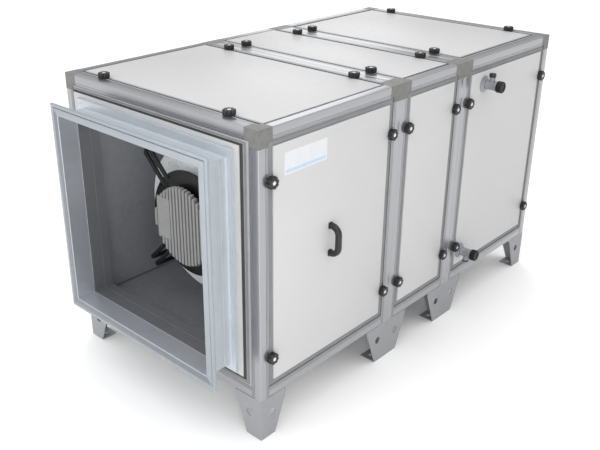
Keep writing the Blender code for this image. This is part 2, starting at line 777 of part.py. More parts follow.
# ---------------------------------------------------------------- coil
def coil():
    """Finned block, end plates, both headers and the two pipe connections."""
    low, high = 0.0840, 0.9350
    core = box((-0.410, COIL_Y0 + 0.004, low + 0.012), (0.395, COIL_Y1 - 0.004, high - 0.012))
    parts = [
        box((-0.428, COIL_Y0, low), (-0.408, COIL_Y1, high)),
        box((0.392, COIL_Y0, low), (0.404, COIL_Y1, high)),
        box((-0.412, COIL_Y0, low), (0.396, COIL_Y1, low + 0.014)),
        box((-0.412, COIL_Y0, high - 0.014), (0.396, COIL_Y1, high)),
    ]
    header_x = 0.436
    for (y, z), other in ((PIPE_HI, 0.30), (PIPE_LO, 0.70)):
        ends = sorted((z, other))
        parts.append(rod("z", (header_x, y), 0.0190, ends[0] - 0.024, ends[1] + 0.024, 14))
        for step in range(3):
            at = ends[0] + (ends[1] - ends[0]) * (0.15 + 0.35 * step)
            parts.append(rod("x", (y, at), 0.0060, 0.400, header_x, 8))
        parts.append(rod("x", (y, z), PIPE_R, header_x, HALF_W + 0.040, 20))
        parts.append(rod("x", (y, z), TEE_R, HALF_W + 0.0095, HALF_W + 0.0630, 20))
        up = 1 if z > 0.5 else -1
        branch = sorted((z, z + up * 0.036))
        parts.append(rod("z", (HALF_W + 0.036, y), 0.0120, branch[0], branch[1], 12))
    body = union(core, *parts)
    # open pipe ends behind the screw caps
    return cut(body, *[rod("x", spot, 0.0130, HALF_W + 0.020, HALF_W + 0.09, 16) for spot in (PIPE_HI, PIPE_LO)])


SERVICE = DOORS["rear"]
node("run_around_coil", coil(), "coil_metal", (HALF_W, (COIL_Y0 + COIL_Y1) / 2, 0.5), SERVICE)


def screw_cap(centre):
    lobes = 12
    outline = []
    for i in range(lobes * 2):
        angle = 2 * math.pi * (i + 0.5) / (lobes * 2)
        reach = CAP_R if i % 2 == 0 else CAP_R - 0.0016
        outline.append((centre[0] + reach * math.cos(angle), centre[1] + reach * math.sin(angle)))
    return prism(outline, "x", HALF_W + 0.0633, HALF_W + CAP_OUT)


for label, spot in (("upper", PIPE_HI), ("lower", PIPE_LO)):
    node(f"{label}_pipe_cap", screw_cap(spot), "black_plastic", (HALF_W + 0.0633, *spot), SERVICE, smooth=30)
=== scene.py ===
"""Looks of the heat recovery unit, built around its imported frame.

All coordinates in the code are in the design frame: x across the casing with
the service side at +x, y from the front face, z from the casing's underside.
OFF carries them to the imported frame.
"""
import math

import bmesh
import bpy
from mathutils import Matrix, Vector


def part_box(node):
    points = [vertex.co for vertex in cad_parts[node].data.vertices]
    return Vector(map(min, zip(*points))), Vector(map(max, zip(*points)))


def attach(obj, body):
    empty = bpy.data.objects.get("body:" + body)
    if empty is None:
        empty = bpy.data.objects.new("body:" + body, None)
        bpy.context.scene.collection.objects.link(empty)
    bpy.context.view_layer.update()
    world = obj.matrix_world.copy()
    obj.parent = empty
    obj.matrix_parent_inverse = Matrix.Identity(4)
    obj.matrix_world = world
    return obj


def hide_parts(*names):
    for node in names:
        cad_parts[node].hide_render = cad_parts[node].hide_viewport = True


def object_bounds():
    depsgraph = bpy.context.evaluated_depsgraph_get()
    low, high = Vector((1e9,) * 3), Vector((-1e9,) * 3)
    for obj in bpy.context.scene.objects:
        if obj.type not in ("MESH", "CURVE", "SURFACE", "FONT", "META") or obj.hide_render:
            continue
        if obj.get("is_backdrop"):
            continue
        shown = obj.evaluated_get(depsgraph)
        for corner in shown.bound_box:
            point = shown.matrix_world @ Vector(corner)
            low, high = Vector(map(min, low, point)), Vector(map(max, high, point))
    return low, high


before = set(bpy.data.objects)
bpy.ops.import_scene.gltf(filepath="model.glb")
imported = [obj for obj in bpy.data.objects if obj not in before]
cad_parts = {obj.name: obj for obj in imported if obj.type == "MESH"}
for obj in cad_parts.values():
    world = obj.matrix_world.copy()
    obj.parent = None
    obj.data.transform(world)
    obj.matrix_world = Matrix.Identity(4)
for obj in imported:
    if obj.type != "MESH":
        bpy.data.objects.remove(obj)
CAD_BOX = [list(v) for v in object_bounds()]

# ------------------------------------------------------------------ dimensions
_lo, _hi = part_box("front_section_frame")
_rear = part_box("rear_section_frame")[1]
W2 = (_hi.x - _lo.x) / 2
OFF = Vector(((_hi.x + _lo.x) / 2, _lo.y, _lo.z))
H = _hi.z - _lo.z
L = _rear.y - _lo.y
S1 = 0.742
S2 = 1.1745
SEAM = 0.00015
P = 0.0425
T = 0.040
FIT = 0.0010
RIM = 0.0215
LOW = P + FIT
SECTIONS = {"front": (0.0, S1 - SEAM), "middle": (S1 + SEAM, S2 - SEAM), "rear": (S2 + SEAM, L)}
DUCT_Z = 0.5
FAN_Z = 0.475
GROUND = CAD_BOX[0][2]

X, Y, Z = Vector((1, 0, 0)), Vector((0, 1, 0)), Vector((0, 0, 1))


# ------------------------------------------------------------------ materials
def lin(*rgb):
    """sRGB 0-255 to linear, with alpha."""
    out = []
    for c in rgb:
        c = c / 255
        out.append(c / 12.92 if c <= 0.04045 else ((c + 0.055) / 1.055) ** 2.4)
    return (*out, 1.0)


class Mat:
    """Principled material with procedural colour, roughness and relief."""

    def __init__(self, name, colour, rough, metal=0.0, spec=0.5, coat=0.0):
        self.mat = bpy.data.materials.new(name)
        self.mat.use_nodes = True
        self.t = self.mat.node_tree
        self.s = self.t.nodes["Principled BSDF"]
        self.colour = colour
        self.rough = rough
        self.s.inputs["Base Color"].default_value = colour
        self.s.inputs["Roughness"].default_value = rough
        self.s.inputs["Metallic"].default_value = metal
        self.s.inputs["Specular IOR Level"].default_value = spec
        if coat:
            self.s.inputs["Coat Weight"].default_value = coat
            self.s.inputs["Coat Roughness"].default_value = 0.25
        self.mat.diffuse_color = colour
        self.coord = self.t.nodes.new("ShaderNodeTexCoord")
        self.colour_out = None
        self.height = None

    def noise(self, scale, stretch=(1, 1, 1), detail=3.0, rough=0.55, kind="noise"):
        m = self.t.nodes.new("ShaderNodeMapping")
        m.inputs["Scale"].default_value = stretch
        self.t.links.new(self.coord.outputs["Object"], m.inputs["Vector"])
        if kind == "noise":
            n = self.t.nodes.new("ShaderNodeTexNoise")
            n.inputs["Scale"].default_value = scale
            n.inputs["Detail"].default_value = detail
            n.inputs["Roughness"].default_value = rough
            self.t.links.new(m.outputs["Vector"], n.inputs["Vector"])
            return n.outputs["Fac"]
        n = self.t.nodes.new("ShaderNodeTexVoronoi")
        n.feature = "F1" if kind == "cells" else "DISTANCE_TO_EDGE"
        n.inputs["Scale"].default_value = scale
        self.t.links.new(m.outputs["Vector"], n.inputs["Vector"])
        return n.outputs["Color" if kind == "cells" else "Distance"]

    def tint(self, fac, low, high, lo_at=0.3, hi_at=0.7):
        """Multiplies the colour by low..high as fac goes from lo_at to hi_at."""
        r = self.t.nodes.new("ShaderNodeMapRange")
        r.inputs["From Min"].default_value = lo_at
        r.inputs["From Max"].default_value = hi_at
        r.inputs["To Min"].default_value = low
        r.inputs["To Max"].default_value = high
        self.t.links.new(fac, r.inputs["Value"])
        m = self.t.nodes.new("ShaderNodeMix")
        m.data_type = "RGBA"
        m.blend_type = "MULTIPLY"
        m.inputs["Factor"].default_value = 1.0
        if self.colour_out is None:
            m.inputs[6].default_value = self.colour
        else:
            self.t.links.new(self.colour_out, m.inputs[6])
        self.t.links.new(r.outputs["Result"], m.inputs[7])
        self.colour_out = m.outputs[2]
        self.t.links.new(self.colour_out, self.s.inputs["Base Color"])
        return self

    def gloss(self, fac, low, high, lo_at=0.3, hi_at=0.7):
        r = self.t.nodes.new("ShaderNodeMapRange")
        r.inputs["From Min"].default_value = lo_at
        r.inputs["From Max"].default_value = hi_at
        r.inputs["To Min"].default_value = low
        r.inputs["To Max"].default_value = high
        self.t.links.new(fac, r.inputs["Value"])
        self.t.links.new(r.outputs["Result"], self.s.inputs["Roughness"])
        return self

    def relief(self, fac, depth, strength=1.0):
        b = self.t.nodes.new("ShaderNodeBump")
        b.inputs["Strength"].default_value = strength
        b.inputs["Distance"].default_value = depth
        self.t.links.new(fac, b.inputs["Height"])
        if self.height is not None:
            self.t.links.new(self.height, b.inputs["Normal"])
        self.height = b.outputs["Normal"]
        self.t.links.new(self.height, self.s.inputs["Normal"])
        return self


def panel_white():
    m = Mat("panel_white", lin(195, 195, 195), 0.45, spec=0.3)
    m.relief(m.noise(900, detail=2), 0.00006, 0.5)          # powder coat's orange peel
    m.relief(m.noise(2.2, detail=1), 0.0011, 0.6)           # slow waviness of thin sheet
    m.tint(m.noise(3.0, detail=4), 0.985, 1.01)
    m.gloss(m.noise(30, detail=5), 0.36, 0.47)
    return m.mat


def profile_metal(axis):
    """Anodised extrusion, drawn along one axis."""
    long = 1.0
    stretch = {"x": (long, 60, 60), "y": (60, long, 60), "z": (60, 60, long)}[axis]
    m = Mat(f"anodised_{axis}", lin(168, 169, 172), 0.27, metal=0.88, spec=0.4)
    fine = m.noise(9.0, stretch, detail=4, rough=0.65)
    m.tint(fine, 0.990, 1.006)
    m.tint(m.noise(4.0, detail=3), 0.985, 1.01)
    m.gloss(fine, 0.275, 0.290)
    m.relief(fine, 0.000005, 0.1)
    return m.mat


def galvanised(name, colour, rough, metal, spangle=0.03):
    m = Mat(name, colour, rough, metal=metal, spec=0.4)
    cells = m.noise(55, kind="cells")
    sep = m.t.nodes.new("ShaderNodeSeparateColor")
    m.t.links.new(cells, sep.inputs["Color"])
    m.tint(sep.outputs["Red"], 1 - spangle, 1 + spangle, 0.0, 1.0)
    m.tint(m.noise(6, detail=5), 0.965, 1.02)
    m.gloss(sep.outputs["Green"], rough - 0.04, rough + 0.05, 0.0, 1.0)
    m.relief(m.noise(420, detail=2), 0.00005, 0.4)
    return m.mat


def plastic(name, colour, rough=0.42, grain=0.00008, spec=0.45):
    m = Mat(name, colour, rough, spec=spec)
    m.relief(m.noise(1500, detail=2), grain, 0.6)
    m.tint(m.noise(45, detail=4), 0.88, 1.10)
    m.gloss(m.noise(120, detail=3), rough - 0.06, rough + 0.08)
    return m.mat


def seal_grey(name, colour):
    m = Mat(name, colour, 0.62, spec=0.35)
    m.tint(m.noise(14, detail=4), 0.93, 1.06)
    m.gloss(m.noise(40, detail=3), 0.55, 0.70)
    m.relief(m.noise(700, detail=2), 0.00006, 0.5)
    return m.mat


def cast_metal():
    m = Mat("cast_aluminium", lin(137, 137, 137), 0.55, metal=0.20, spec=0.3)
    m.relief(m.noise(700, detail=4, rough=0.7), 0.00014, 0.6)
    m.tint(m.noise(25, detail=5), 0.94, 1.04)
    m.gloss(m.noise(90, detail=3), 0.44, 0.58)
    return m.mat


def spun_metal():
    m = Mat("spun_aluminium", lin(226, 229, 231), 0.38, metal=0.30)
    fine = m.noise(160, (1, 6, 1), detail=3)
    m.tint(fine, 0.95, 1.02)
    m.gloss(m.noise(12, detail=4), 0.24, 0.36)
    m.relief(fine, 0.00004, 0.3)
    return m.mat


def fin_metal():
    m = Mat("fin_aluminium", lin(188, 191, 195), 0.38, metal=0.8)
    m.tint(m.noise(30, (1, 1, 5), detail=4), 0.90, 1.05)
    m.gloss(m.noise(60, detail=3), 0.32, 0.48)
    m.relief(m.noise(260, (1, 4, 1), detail=2), 0.0001, 0.4)
    return m.mat


def copper():
    m = Mat("copper_tube", (0.58, 0.25, 0.13, 1), 0.34, metal=1.0)
    m.tint(m.noise(40, detail=5), 0.72, 1.05)
    m.gloss(m.noise(70, detail=4), 0.26, 0.48)
    m.relief(m.noise(300, detail=2), 0.00005, 0.4)
    return m.mat


def fleece():
    m = Mat("filter_fleece", lin(226, 229, 228), 0.92, spec=0.15)
    m.s.inputs["Sheen Weight"].default_value = 0.25
    m.tint(m.noise(420, detail=5, rough=0.75), 0.84, 1.04)
    m.relief(m.noise(900, detail=4, rough=0.8), 0.0006, 0.7)
    m.tint(m.noise(8, detail=4), 0.95, 1.02)
    return m.mat


WHITE = panel_white()
ANOD = {a: profile_metal(a) for a in "xyz"}
GALV = galvanised("galvanised_sheet", lin(196, 202, 208), 0.36, 0.60, 0.012)
# FLANGE, NECK and OUTER are copies of one galvanised sheet: FLANGE is a darker copy as painted shade on the flange
# front, NECK and OUTER are lighter copies as painted light on the neck's inside and outside faces
FLANGE = galvanised("galvanised_flange", lin(160, 166, 172), 0.38, 0.60, 0.010)
NECK = galvanised("galvanised_neck_inside", lin(205, 210, 217), 0.36, 0.75, 0.010)
OUTER = galvanised("galvanised_neck_outside", lin(208, 214, 220), 0.40, 0.60, 0.010)
# painted shade: a darker copy of the flange sheet for the groove's top run and for the flange front's bottom and left
# runs
SHADE = galvanised("galvanised_flange_shade", lin(128, 132, 138), 0.38, 0.60, 0.010)
INNER = galvanised("galvanised_inner_skin", lin(159, 161, 165), 0.44, 0.45, 0.05)
# painted shade: a dark copy of the galvanised sheet for the inside of the front wall's duct opening and for the
# collar's rear inner face and back face
SLEEVE_PAINTED_SHADE = galvanised("galvanised_inner_sleeve_painted_shade", lin(112, 113, 116), 0.50, 0.40, 0.03)
FOOT = galvanised("zinc_plated_foot", lin(156, 157, 160), 0.50, 0.45, 0.015)
BLACK = plastic("black_nylon", lin(36, 36, 37), 0.40)
CAPBLACK = plastic("black_cap_plastic", lin(20, 20, 21), 0.45, spec=0.3)
CORNER = plastic("grey_corner_plastic", lin(116, 116, 114), 0.46, spec=0.35)
SEAL = seal_grey("grey_rim_seal", lin(126, 127, 128))
# painted shade: a dark copy of the rim seal for the lids' seal grooves and for the front wall seal's deep recess by
# the skin
SEAL_PAINTED_SHADE = seal_grey("rim_seal_painted_shade", lin(66, 67, 68))
# painted light: a lighter copy of the rim seal for the lips' crests and for the front wall seal's band next to the
# profile
SEAL_PAINTED_LIGHT = seal_grey("rim_seal_painted_light", lin(158, 159, 161))
# black powder coat of the fan bracket, also used as painted shade on the motor drum's side
BLACK_COAT_AND_SHADE = plastic("black_powder_coat_and_painted_shade", lin(18, 18, 19), 0.42, grain=0.00012, spec=0.28)
CAST = cast_metal()
SPUN = spun_metal()
FINS_M = fin_metal()
COPPER = copper()
FLEECE = fleece()
SCREW = galvanised("zinc_screw", lin(226, 227, 229), 0.28, 0.85, 0.01)
FITTING = galvanised("fitting_grey", lin(148, 150, 157), 0.42, 0.35, 0.02)


def label_material():
    m = Mat("plain_label", lin(210, 213, 216), 0.30, spec=0.5)
    m.tint(m.noise(25, detail=3), 0.985, 1.01)
    m.gloss(m.noise(60, detail=3), 0.26, 0.36)
    m.relief(m.noise(500, detail=2), 0.00001, 0.2)
    return m.mat


def label_band_material():
    m = Mat("plain_label_band", lin(176, 200, 219), 0.30, spec=0.5)
    m.tint(m.noise(25, detail=3), 0.97, 1.02)
    m.gloss(m.noise(60, detail=3), 0.26, 0.36)
    return m.mat


LABEL = label_material()
LABEL_BAND = label_band_material()


# ------------------------------------------------------------------ mesh tools
def quads(bm, one, two, mat=0, wrap=True):
    n = len(one)
    for i in range(n if wrap else n - 1):
        j = (i + 1) % n
        bm.faces.new((one[i], one[j], two[j], two[i])).material_index = mat


def cap(bm, ring, mat=0):
    bm.faces.new(ring).material_index = mat


def add_box(bm, lo, hi, mat=0):
    xs, ys, zs = (sorted((lo[i], hi[i])) for i in range(3))
    low = [bm.verts.new((x, y, zs[0])) for x, y in ((xs[0], ys[0]), (xs[1], ys[0]), (xs[1], ys[1]), (xs[0], ys[1]))]
    high = [bm.verts.new((x, y, zs[1])) for x, y in ((xs[0], ys[0]), (xs[1], ys[0]), (xs[1], ys[1]), (xs[0], ys[1]))]
    quads(bm, low, high, mat)
    cap(bm, low[::-1], mat)
    cap(bm, high, mat)


TURN = {
    "x": Matrix(((0, 0, 1), (1, 0, 0), (0, 1, 0))),
    "y": Matrix(((1, 0, 0), (0, 0, 1), (0, 1, 0))),
    "z": Matrix.Identity(3),
}


def circle(centre, radius, sides, turn=0.0):
    return [
        (centre[0] + radius * math.cos(turn + 2 * math.pi * i / sides),
         centre[1] + radius * math.sin(turn + 2 * math.pi * i / sides))
        for i in range(sides)
    ]


def add_prism(bm, outline, axis, lo, hi, mat=0):
    t = TURN[axis]
    low = [bm.verts.new(t @ Vector((a, b, lo))) for a, b in outline]
    high = [bm.verts.new(t @ Vector((a, b, hi))) for a, b in outline]
    quads(bm, low, high, mat)
    cap(bm, low[::-1], mat)
    cap(bm, high, mat)


def add_lathe(bm, profile, axis, centre, sides, mat=0, closed=True, mats=None):
    """(radius, along) points turned round an axis; a zero radius closes a pole."""
    t = TURN[axis]
    rings = []
    for radius, along in profile:
        if radius < 1e-6:
            rings.append([bm.verts.new(t @ Vector((centre[0], centre[1], along)))])
        else:
            rings.append([bm.verts.new(t @ Vector((a, b, along))) for a, b in circle(centre, radius, sides)])
    n = len(profile)
    for i in range(n if closed else n - 1):
        one, two = rings[i], rings[(i + 1) % n]
        m = mats[i] if mats else mat
        if len(one) == 1 and len(two) == 1:
            continue
        for k in range(sides):
            q = (k + 1) % sides
            if len(one) == 1:
                f = bm.faces.new((one[0], two[q], two[k]))
            elif len(two) == 1:
                f = bm.faces.new((one[k], one[q], two[0]))
            else:
                f = bm.faces.new((one[k], one[q], two[q], two[k]))
            f.material_index = m


def add_ring(bm, corner, u, v, w, su, sv, profile, mat=0, closed=True, mats=None):
    """(inset, height) or (inset_u, inset_v, height) swept round a rectangle, mitred."""
    rings = []
    for pr in profile:
        a, b, h = pr if len(pr) == 3 else (pr[0], pr[0], pr[1])
        rings.append([bm.verts.new(corner + u * p + v * q + w * h)
                      for p, q in ((a, b), (su - a, b), (su - a, sv - b), (a, sv - b))])
    n = len(rings)
    for i in range(n if closed else n - 1):
        quads(bm, rings[i], rings[(i + 1) % n], mats[i] if mats else mat)
    return rings


def add_sweep(bm, path, section, up, mat=0, capped=True):
    """Section (side, up) carried along a path of points."""
    path = [Vector(p) for p in path]
    rings = []
    up = Vector(up)
    for i, p in enumerate(path):
        if i == 0:
            d = path[1] - path[0]
        elif i == len(path) - 1:
            d = path[-1] - path[-2]
        else:
            d = (path[i + 1] - p).normalized() + (p - path[i - 1]).normalized()
        d.normalize()
        side = d.cross(up).normalized()
        top = side.cross(d).normalized()
        stretch = 1.0
        if 0 < i < len(path) - 1:
            c = (path[i + 1] - p).normalized().dot((p - path[i - 1]).normalized())
            stretch = 1.0 / max(0.7, math.sqrt((1 + c) / 2))
        rings.append([bm.verts.new(p + side * a * stretch + top * b) for a, b in section])
    for one, two in zip(rings, rings[1:]):
        quads(bm, one, two, mat)
    if capped:
        cap(bm, rings[0][::-1], mat)
        cap(bm, rings[-1], mat)


def rounded_rect(w, h, r, seg=4):
    out = []
    for cx, cy, a0 in ((w / 2 - r, h / 2 - r, 0), (-w / 2 + r, h / 2 - r, 90), (-w / 2 + r, -h / 2 + r, 180), (w / 2 - r, -h / 2 + r, 270)):
        for k in range(seg + 1):
            a = math.radians(a0 + 90 * k / seg)
            out.append((cx + r * math.cos(a), cy + r * math.sin(a)))
    return out


def arc(cx, cy, r, a0, a1, seg):
    return [(cx + r * math.cos(math.radians(a0 + (a1 - a0) * k / seg)),
             cy + r * math.sin(math.radians(a0 + (a1 - a0) * k / seg))) for k in range(seg + 1)]


def boolean(base, tools, operation):
    """Exact Boolean of bmeshes; helper objects are removed again."""
    def temp(bm, name):
        me = bpy.data.meshes.new(name)
        bmesh.ops.recalc_face_normals(bm, faces=bm.faces)
        bm.to_mesh(me)
        bm.free()
        ob = bpy.data.objects.new(name, me)
        bpy.context.scene.collection.objects.link(ob)
        return ob

    body = temp(base, "tmp_body")
    others = []
    for i, tool in enumerate(tools):
        ob = temp(tool, f"tmp_tool_{i}")
        mod = body.modifiers.new(f"b{i}", "BOOLEAN")
        mod.operation = operation
        mod.solver = "EXACT"
        mod.object = ob
        others.append(ob)
    bpy.context.view_layer.update()
    me = bpy.data.meshes.new_from_object(body.evaluated_get(bpy.context.evaluated_depsgraph_get()))
    out = bmesh.new()
    out.from_mesh(me)
    bpy.data.meshes.remove(me)
    for ob in (body, *others):
        data = ob.data
        bpy.data.objects.remove(ob, do_unlink=True)
        bpy.data.meshes.remove(data)
    bmesh.ops.remove_doubles(out, verts=out.verts, dist=1e-6)
    bmesh.ops.dissolve_limit(out, angle_limit=math.radians(0.3), verts=out.verts, edges=out.edges)
    return out


def new():
    return bmesh.new()


def bm_box(lo, hi):
    bm = new()
    add_box(bm, lo, hi)
    return bm


def bm_rod(axis, centre, radius, lo, hi, sides=32):
    bm = new()
    add_prism(bm, circle(centre, radius, sides), axis, lo, hi)
    return bm


def piece(name, bm, mats, body, stands_for=(), smooth=35, bevel=None, segs=2, limit=40, fix=True):
    """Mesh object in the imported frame, riding on a body."""
    if fix:
        bmesh.ops.recalc_face_normals(bm, faces=bm.faces)
    bmesh.ops.translate(bm, vec=OFF, verts=bm.verts)
    me = bpy.data.meshes.new(name)
    bm.to_mesh(me)
    bm.free()
    for m in mats if isinstance(mats, (list, tuple)) else [mats]:
        me.materials.append(m)
    me.shade_smooth()
    me.set_sharp_from_angle(angle=math.radians(smooth))
    ob = bpy.data.objects.new(name, me)
    bpy.context.scene.collection.objects.link(ob)
    if bevel:
        mod = ob.modifiers.new("edges", "BEVEL")
        mod.width = bevel
        mod.segments = segs
        mod.limit_method = "ANGLE"
        mod.angle_limit = math.radians(limit)
        mod.harden_normals = True
        mod.use_clamp_overlap = True
    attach(ob, body)
    if stands_for:
        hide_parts(*stands_for)
    return ob


# ------------------------------------------------------------------ casing frames
CORNER_ARM = 0.063


def bar_outline(r, top_gap=False):
    """Profile outline (a, b): distances in from its two outer faces."""
    g = []
    for at in (0.0300, 0.0365):
        g += [(at, 0.0), (at + 0.0003, 0.0014), (at + 0.0019, 0.0014), (at + 0.0022, 0.0)]
    h = g
    if top_gap:
        h = [(0.0300, 0.0), (0.0304, 0.0010), (0.0312, 0.0010), (0.0316, 0.0), (0.0332, 0.0), (0.0334, 0.0080), (0.0394, 0.0080), (0.0396, 0.0)]
    one = [(r, 0.0)] + h + [(P - 0.0008, 0.0), (P, 0.0008), (P, P - 0.0008), (P - 0.0008, P), (0.0008, P), (0.0, P - 0.0008)]
    two = [(b, a) for a, b in reversed(g)] + [(0.0, r)]
    corner = [] if r < 1e-5 else arc(r, r, r, 180, 270, 4)[1:-1]
    return one + two + corner


def add_bar(bm, axis, anchor, inward, lo, hi, r, mat, top_gap=False):
    """Bar along axis; anchor and inward are the other two coordinates, in x, y, z order."""
    pts = bar_outline(r, top_gap)
    ends = []
    for t in (lo, hi):
        ring = []
        for a, b in pts:
            p, q = anchor[0] + inward[0] * a, anchor[1] + inward[1] * b
            ring.append(bm.verts.new({"x": (t, p, q), "y": (p, t, q), "z": (p, q, t)}[axis]))
        ends.append(ring)
    quads(bm, ends[0], ends[1], mat)
    cap(bm, ends[0][::-1], mat)
    cap(bm, ends[1], mat)


for sec, (y0, y1) in SECTIONS.items():
    bm = new()
    top_end = H - CORNER_ARM - 0.0002
    for sx in (-1, 1):
        for cy, iy in ((y0, 1), (y1, -1)):
            outer = cy in (0.0, L)
            add_bar(bm, "z", (sx * W2, cy), (-sx, iy), 0.0, top_end, 0.003 if outer else 0.0016, 2)
    for cy, iy in ((y0, 1), (y1, -1)):
        outer = cy in (0.0, L)
        r = 0.003 if outer else 0.0016
        add_bar(bm, "x", (cy, 0.0), (iy, 1), -W2 + P + 0.0001, W2 - P - 0.0001, r, 0)
        add_bar(bm, "x", (cy, H), (iy, -1), -W2 + CORNER_ARM + 0.0002, W2 - CORNER_ARM - 0.0002, r, 0)
    for sx in (-1, 1):
        add_bar(bm, "y", (sx * W2, 0.0), (-sx, 1), y0 + P + 0.0001, y1 - P - 0.0001, 0.003, 1)
        add_bar(bm, "y", (sx * W2, H), (-sx, -1), y0 + CORNER_ARM + 0.0002, y1 - CORNER_ARM - 0.0002, 0.003, 1, sec != "rear")
    piece(f"{sec}_profiles", bm, [ANOD["x"], ANOD["y"], ANOD["z"]], "casing",
          [f"{sec}_section_frame"], smooth=30)
    for sx in (-1, 1):
        for cy, iy, end in ((y0, 1, "near"), (y1, -1, "far")):
            def span(k, reach):
                return (sx * W2, sx * (W2 - reach))[k]
            arm, c = CORNER_ARM, P
            base = bm_box((sx * W2, cy, H), (sx * (W2 - arm), cy + iy * c, H - c))
            others = [
                bm_box((sx * (W2 - 0.00003), cy + iy * 0.00003, H - 0.00003), (sx * (W2 - c), cy + iy * arm, H - c + 0.00003)),
                bm_box((sx * (W2 - 0.00006), cy + iy * 0.00006, H - 0.00006), (sx * (W2 - c + 0.00003), cy + iy * (c - 0.00003), H - arm)),
            ]
            bm = boolean(base, others, "UNION")
            side = "right" if sx > 0 else "left"
            piece(f"{sec}_corner_{side}_{end}", bm, CORNER, "casing",
                  smooth=30, bevel=0.0022 if cy in (0.0, L) else 0.0009, segs=3)


# ------------------------------------------------------------------ panels
def panel(name, corner, u, v, w, su, sv, body, rim=(RIM, RIM), lid=False, step=0.0030, hole=None):
    """Coated skin over a rim seal; rim is (along u, along v), hole the insets of an opening."""
    corner = Vector(corner)
    ru, rv = rim
    bm = new()
    led = T - 0.0085

    def at(k, h):
        return (ru + k, rv + k, h)

    outer = [(0.0004, 0.0004, 0.0), (0.0004, 0.0004, led), at(0.0007, led), at(0.0007, T - 0.0009), at(0.0009, T - 0.0003), at(0.0016, T)]
    if hole is None:
        rings = add_ring(bm, corner, u, v, w, su, sv, outer, closed=False, mats=[1, 1, 0, 0, 0])
        cap(bm, rings[0], 1)
        cap(bm, rings[-1], 0)
    else:
        hu, hv = hole
        add_ring(bm, corner, u, v, w, su, sv, outer + [(hu, hv, T), (hu, hv, 0.0)], closed=True, mats=[1, 1, 0, 0, 0, 0, 1, 1])
    ob = piece(f"{name}_skin", bm, [WHITE, INNER], body, [name], smooth=50)
    bm = new()
    top = T - step

    def sc(a, h):
        return (a * ru / RIM, a * rv / RIM, h)

    if lid:
        # lid seal: the lips take the painted-light copy (material 1), and the groove and inner wall take the
        # painted-shade copy (material 0)
        prof = [sc(0.0004, led + 0.0001), sc(0.0004, T - 0.0016), sc(0.0009, T - 0.0008), sc(0.0060, T - 0.0006), sc(0.0068, T - 0.0014), sc(0.0070, led + 0.0022),
                sc(0.0150, led + 0.0022), sc(0.0152, T - 0.0022), sc(0.0160, T - 0.0010), sc(RIM - 0.0006, T - 0.0008), sc(RIM, T - 0.0014), sc(RIM, led + 0.0001)]
        mats = [1, 1, 1, 1, 0, 0, 0, 1, 1, 1, 0, 0]
    else:
        prof = [sc(0.0006, led + 0.0001), sc(0.0006, top - 0.0006), sc(0.0011, top - 0.0001), sc(0.0024, top), sc(0.0030, top - 0.0012), sc(0.0042, top - 0.0012),
                sc(0.0047, top - 0.0001), sc(0.0075, top + 0.0004), sc(0.0150, top + 0.0006), sc(0.0192, top + 0.0001), sc(0.0200, top - 0.0012), sc(RIM, top - 0.0016),
                sc(RIM, led + 0.0001)]
        mats = [0] * 13
        # painted highlight: the lip's crest takes the painted-light copy (material 1)
        mats[2] = 1
    if min(ru, rv) > 0.004:
        add_ring(bm, corner, u, v, w, su, sv, prof, mats=mats)
        piece(f"{name}_rim_seal", bm, [SEAL_PAINTED_SHADE if lid else SEAL, SEAL_PAINTED_LIGHT], body, smooth=35)
    else:
        # only the two edges across v carry a lip
        for k, (v0, sgn) in enumerate(((0.0, 1), (sv, -1))):
            ends = []
            for uu in (0.0006, su - 0.0006):
                ends.append([bm.verts.new(corner + u * uu + v * (v0 + sgn * p[1]) + w * p[2]) for p in prof])
            quads(bm, ends[0], ends[1])
            for i, f in enumerate(list(bm.faces)[-len(prof):]):
                f.material_index = mats[i]
            cap(bm, ends[0][::-1], 0)
            cap(bm, ends[1], 0)
        piece(f"{name}_rim_seal", bm, [SEAL_PAINTED_SHADE if lid else SEAL, SEAL_PAINTED_LIGHT], body, smooth=35)
    return ob


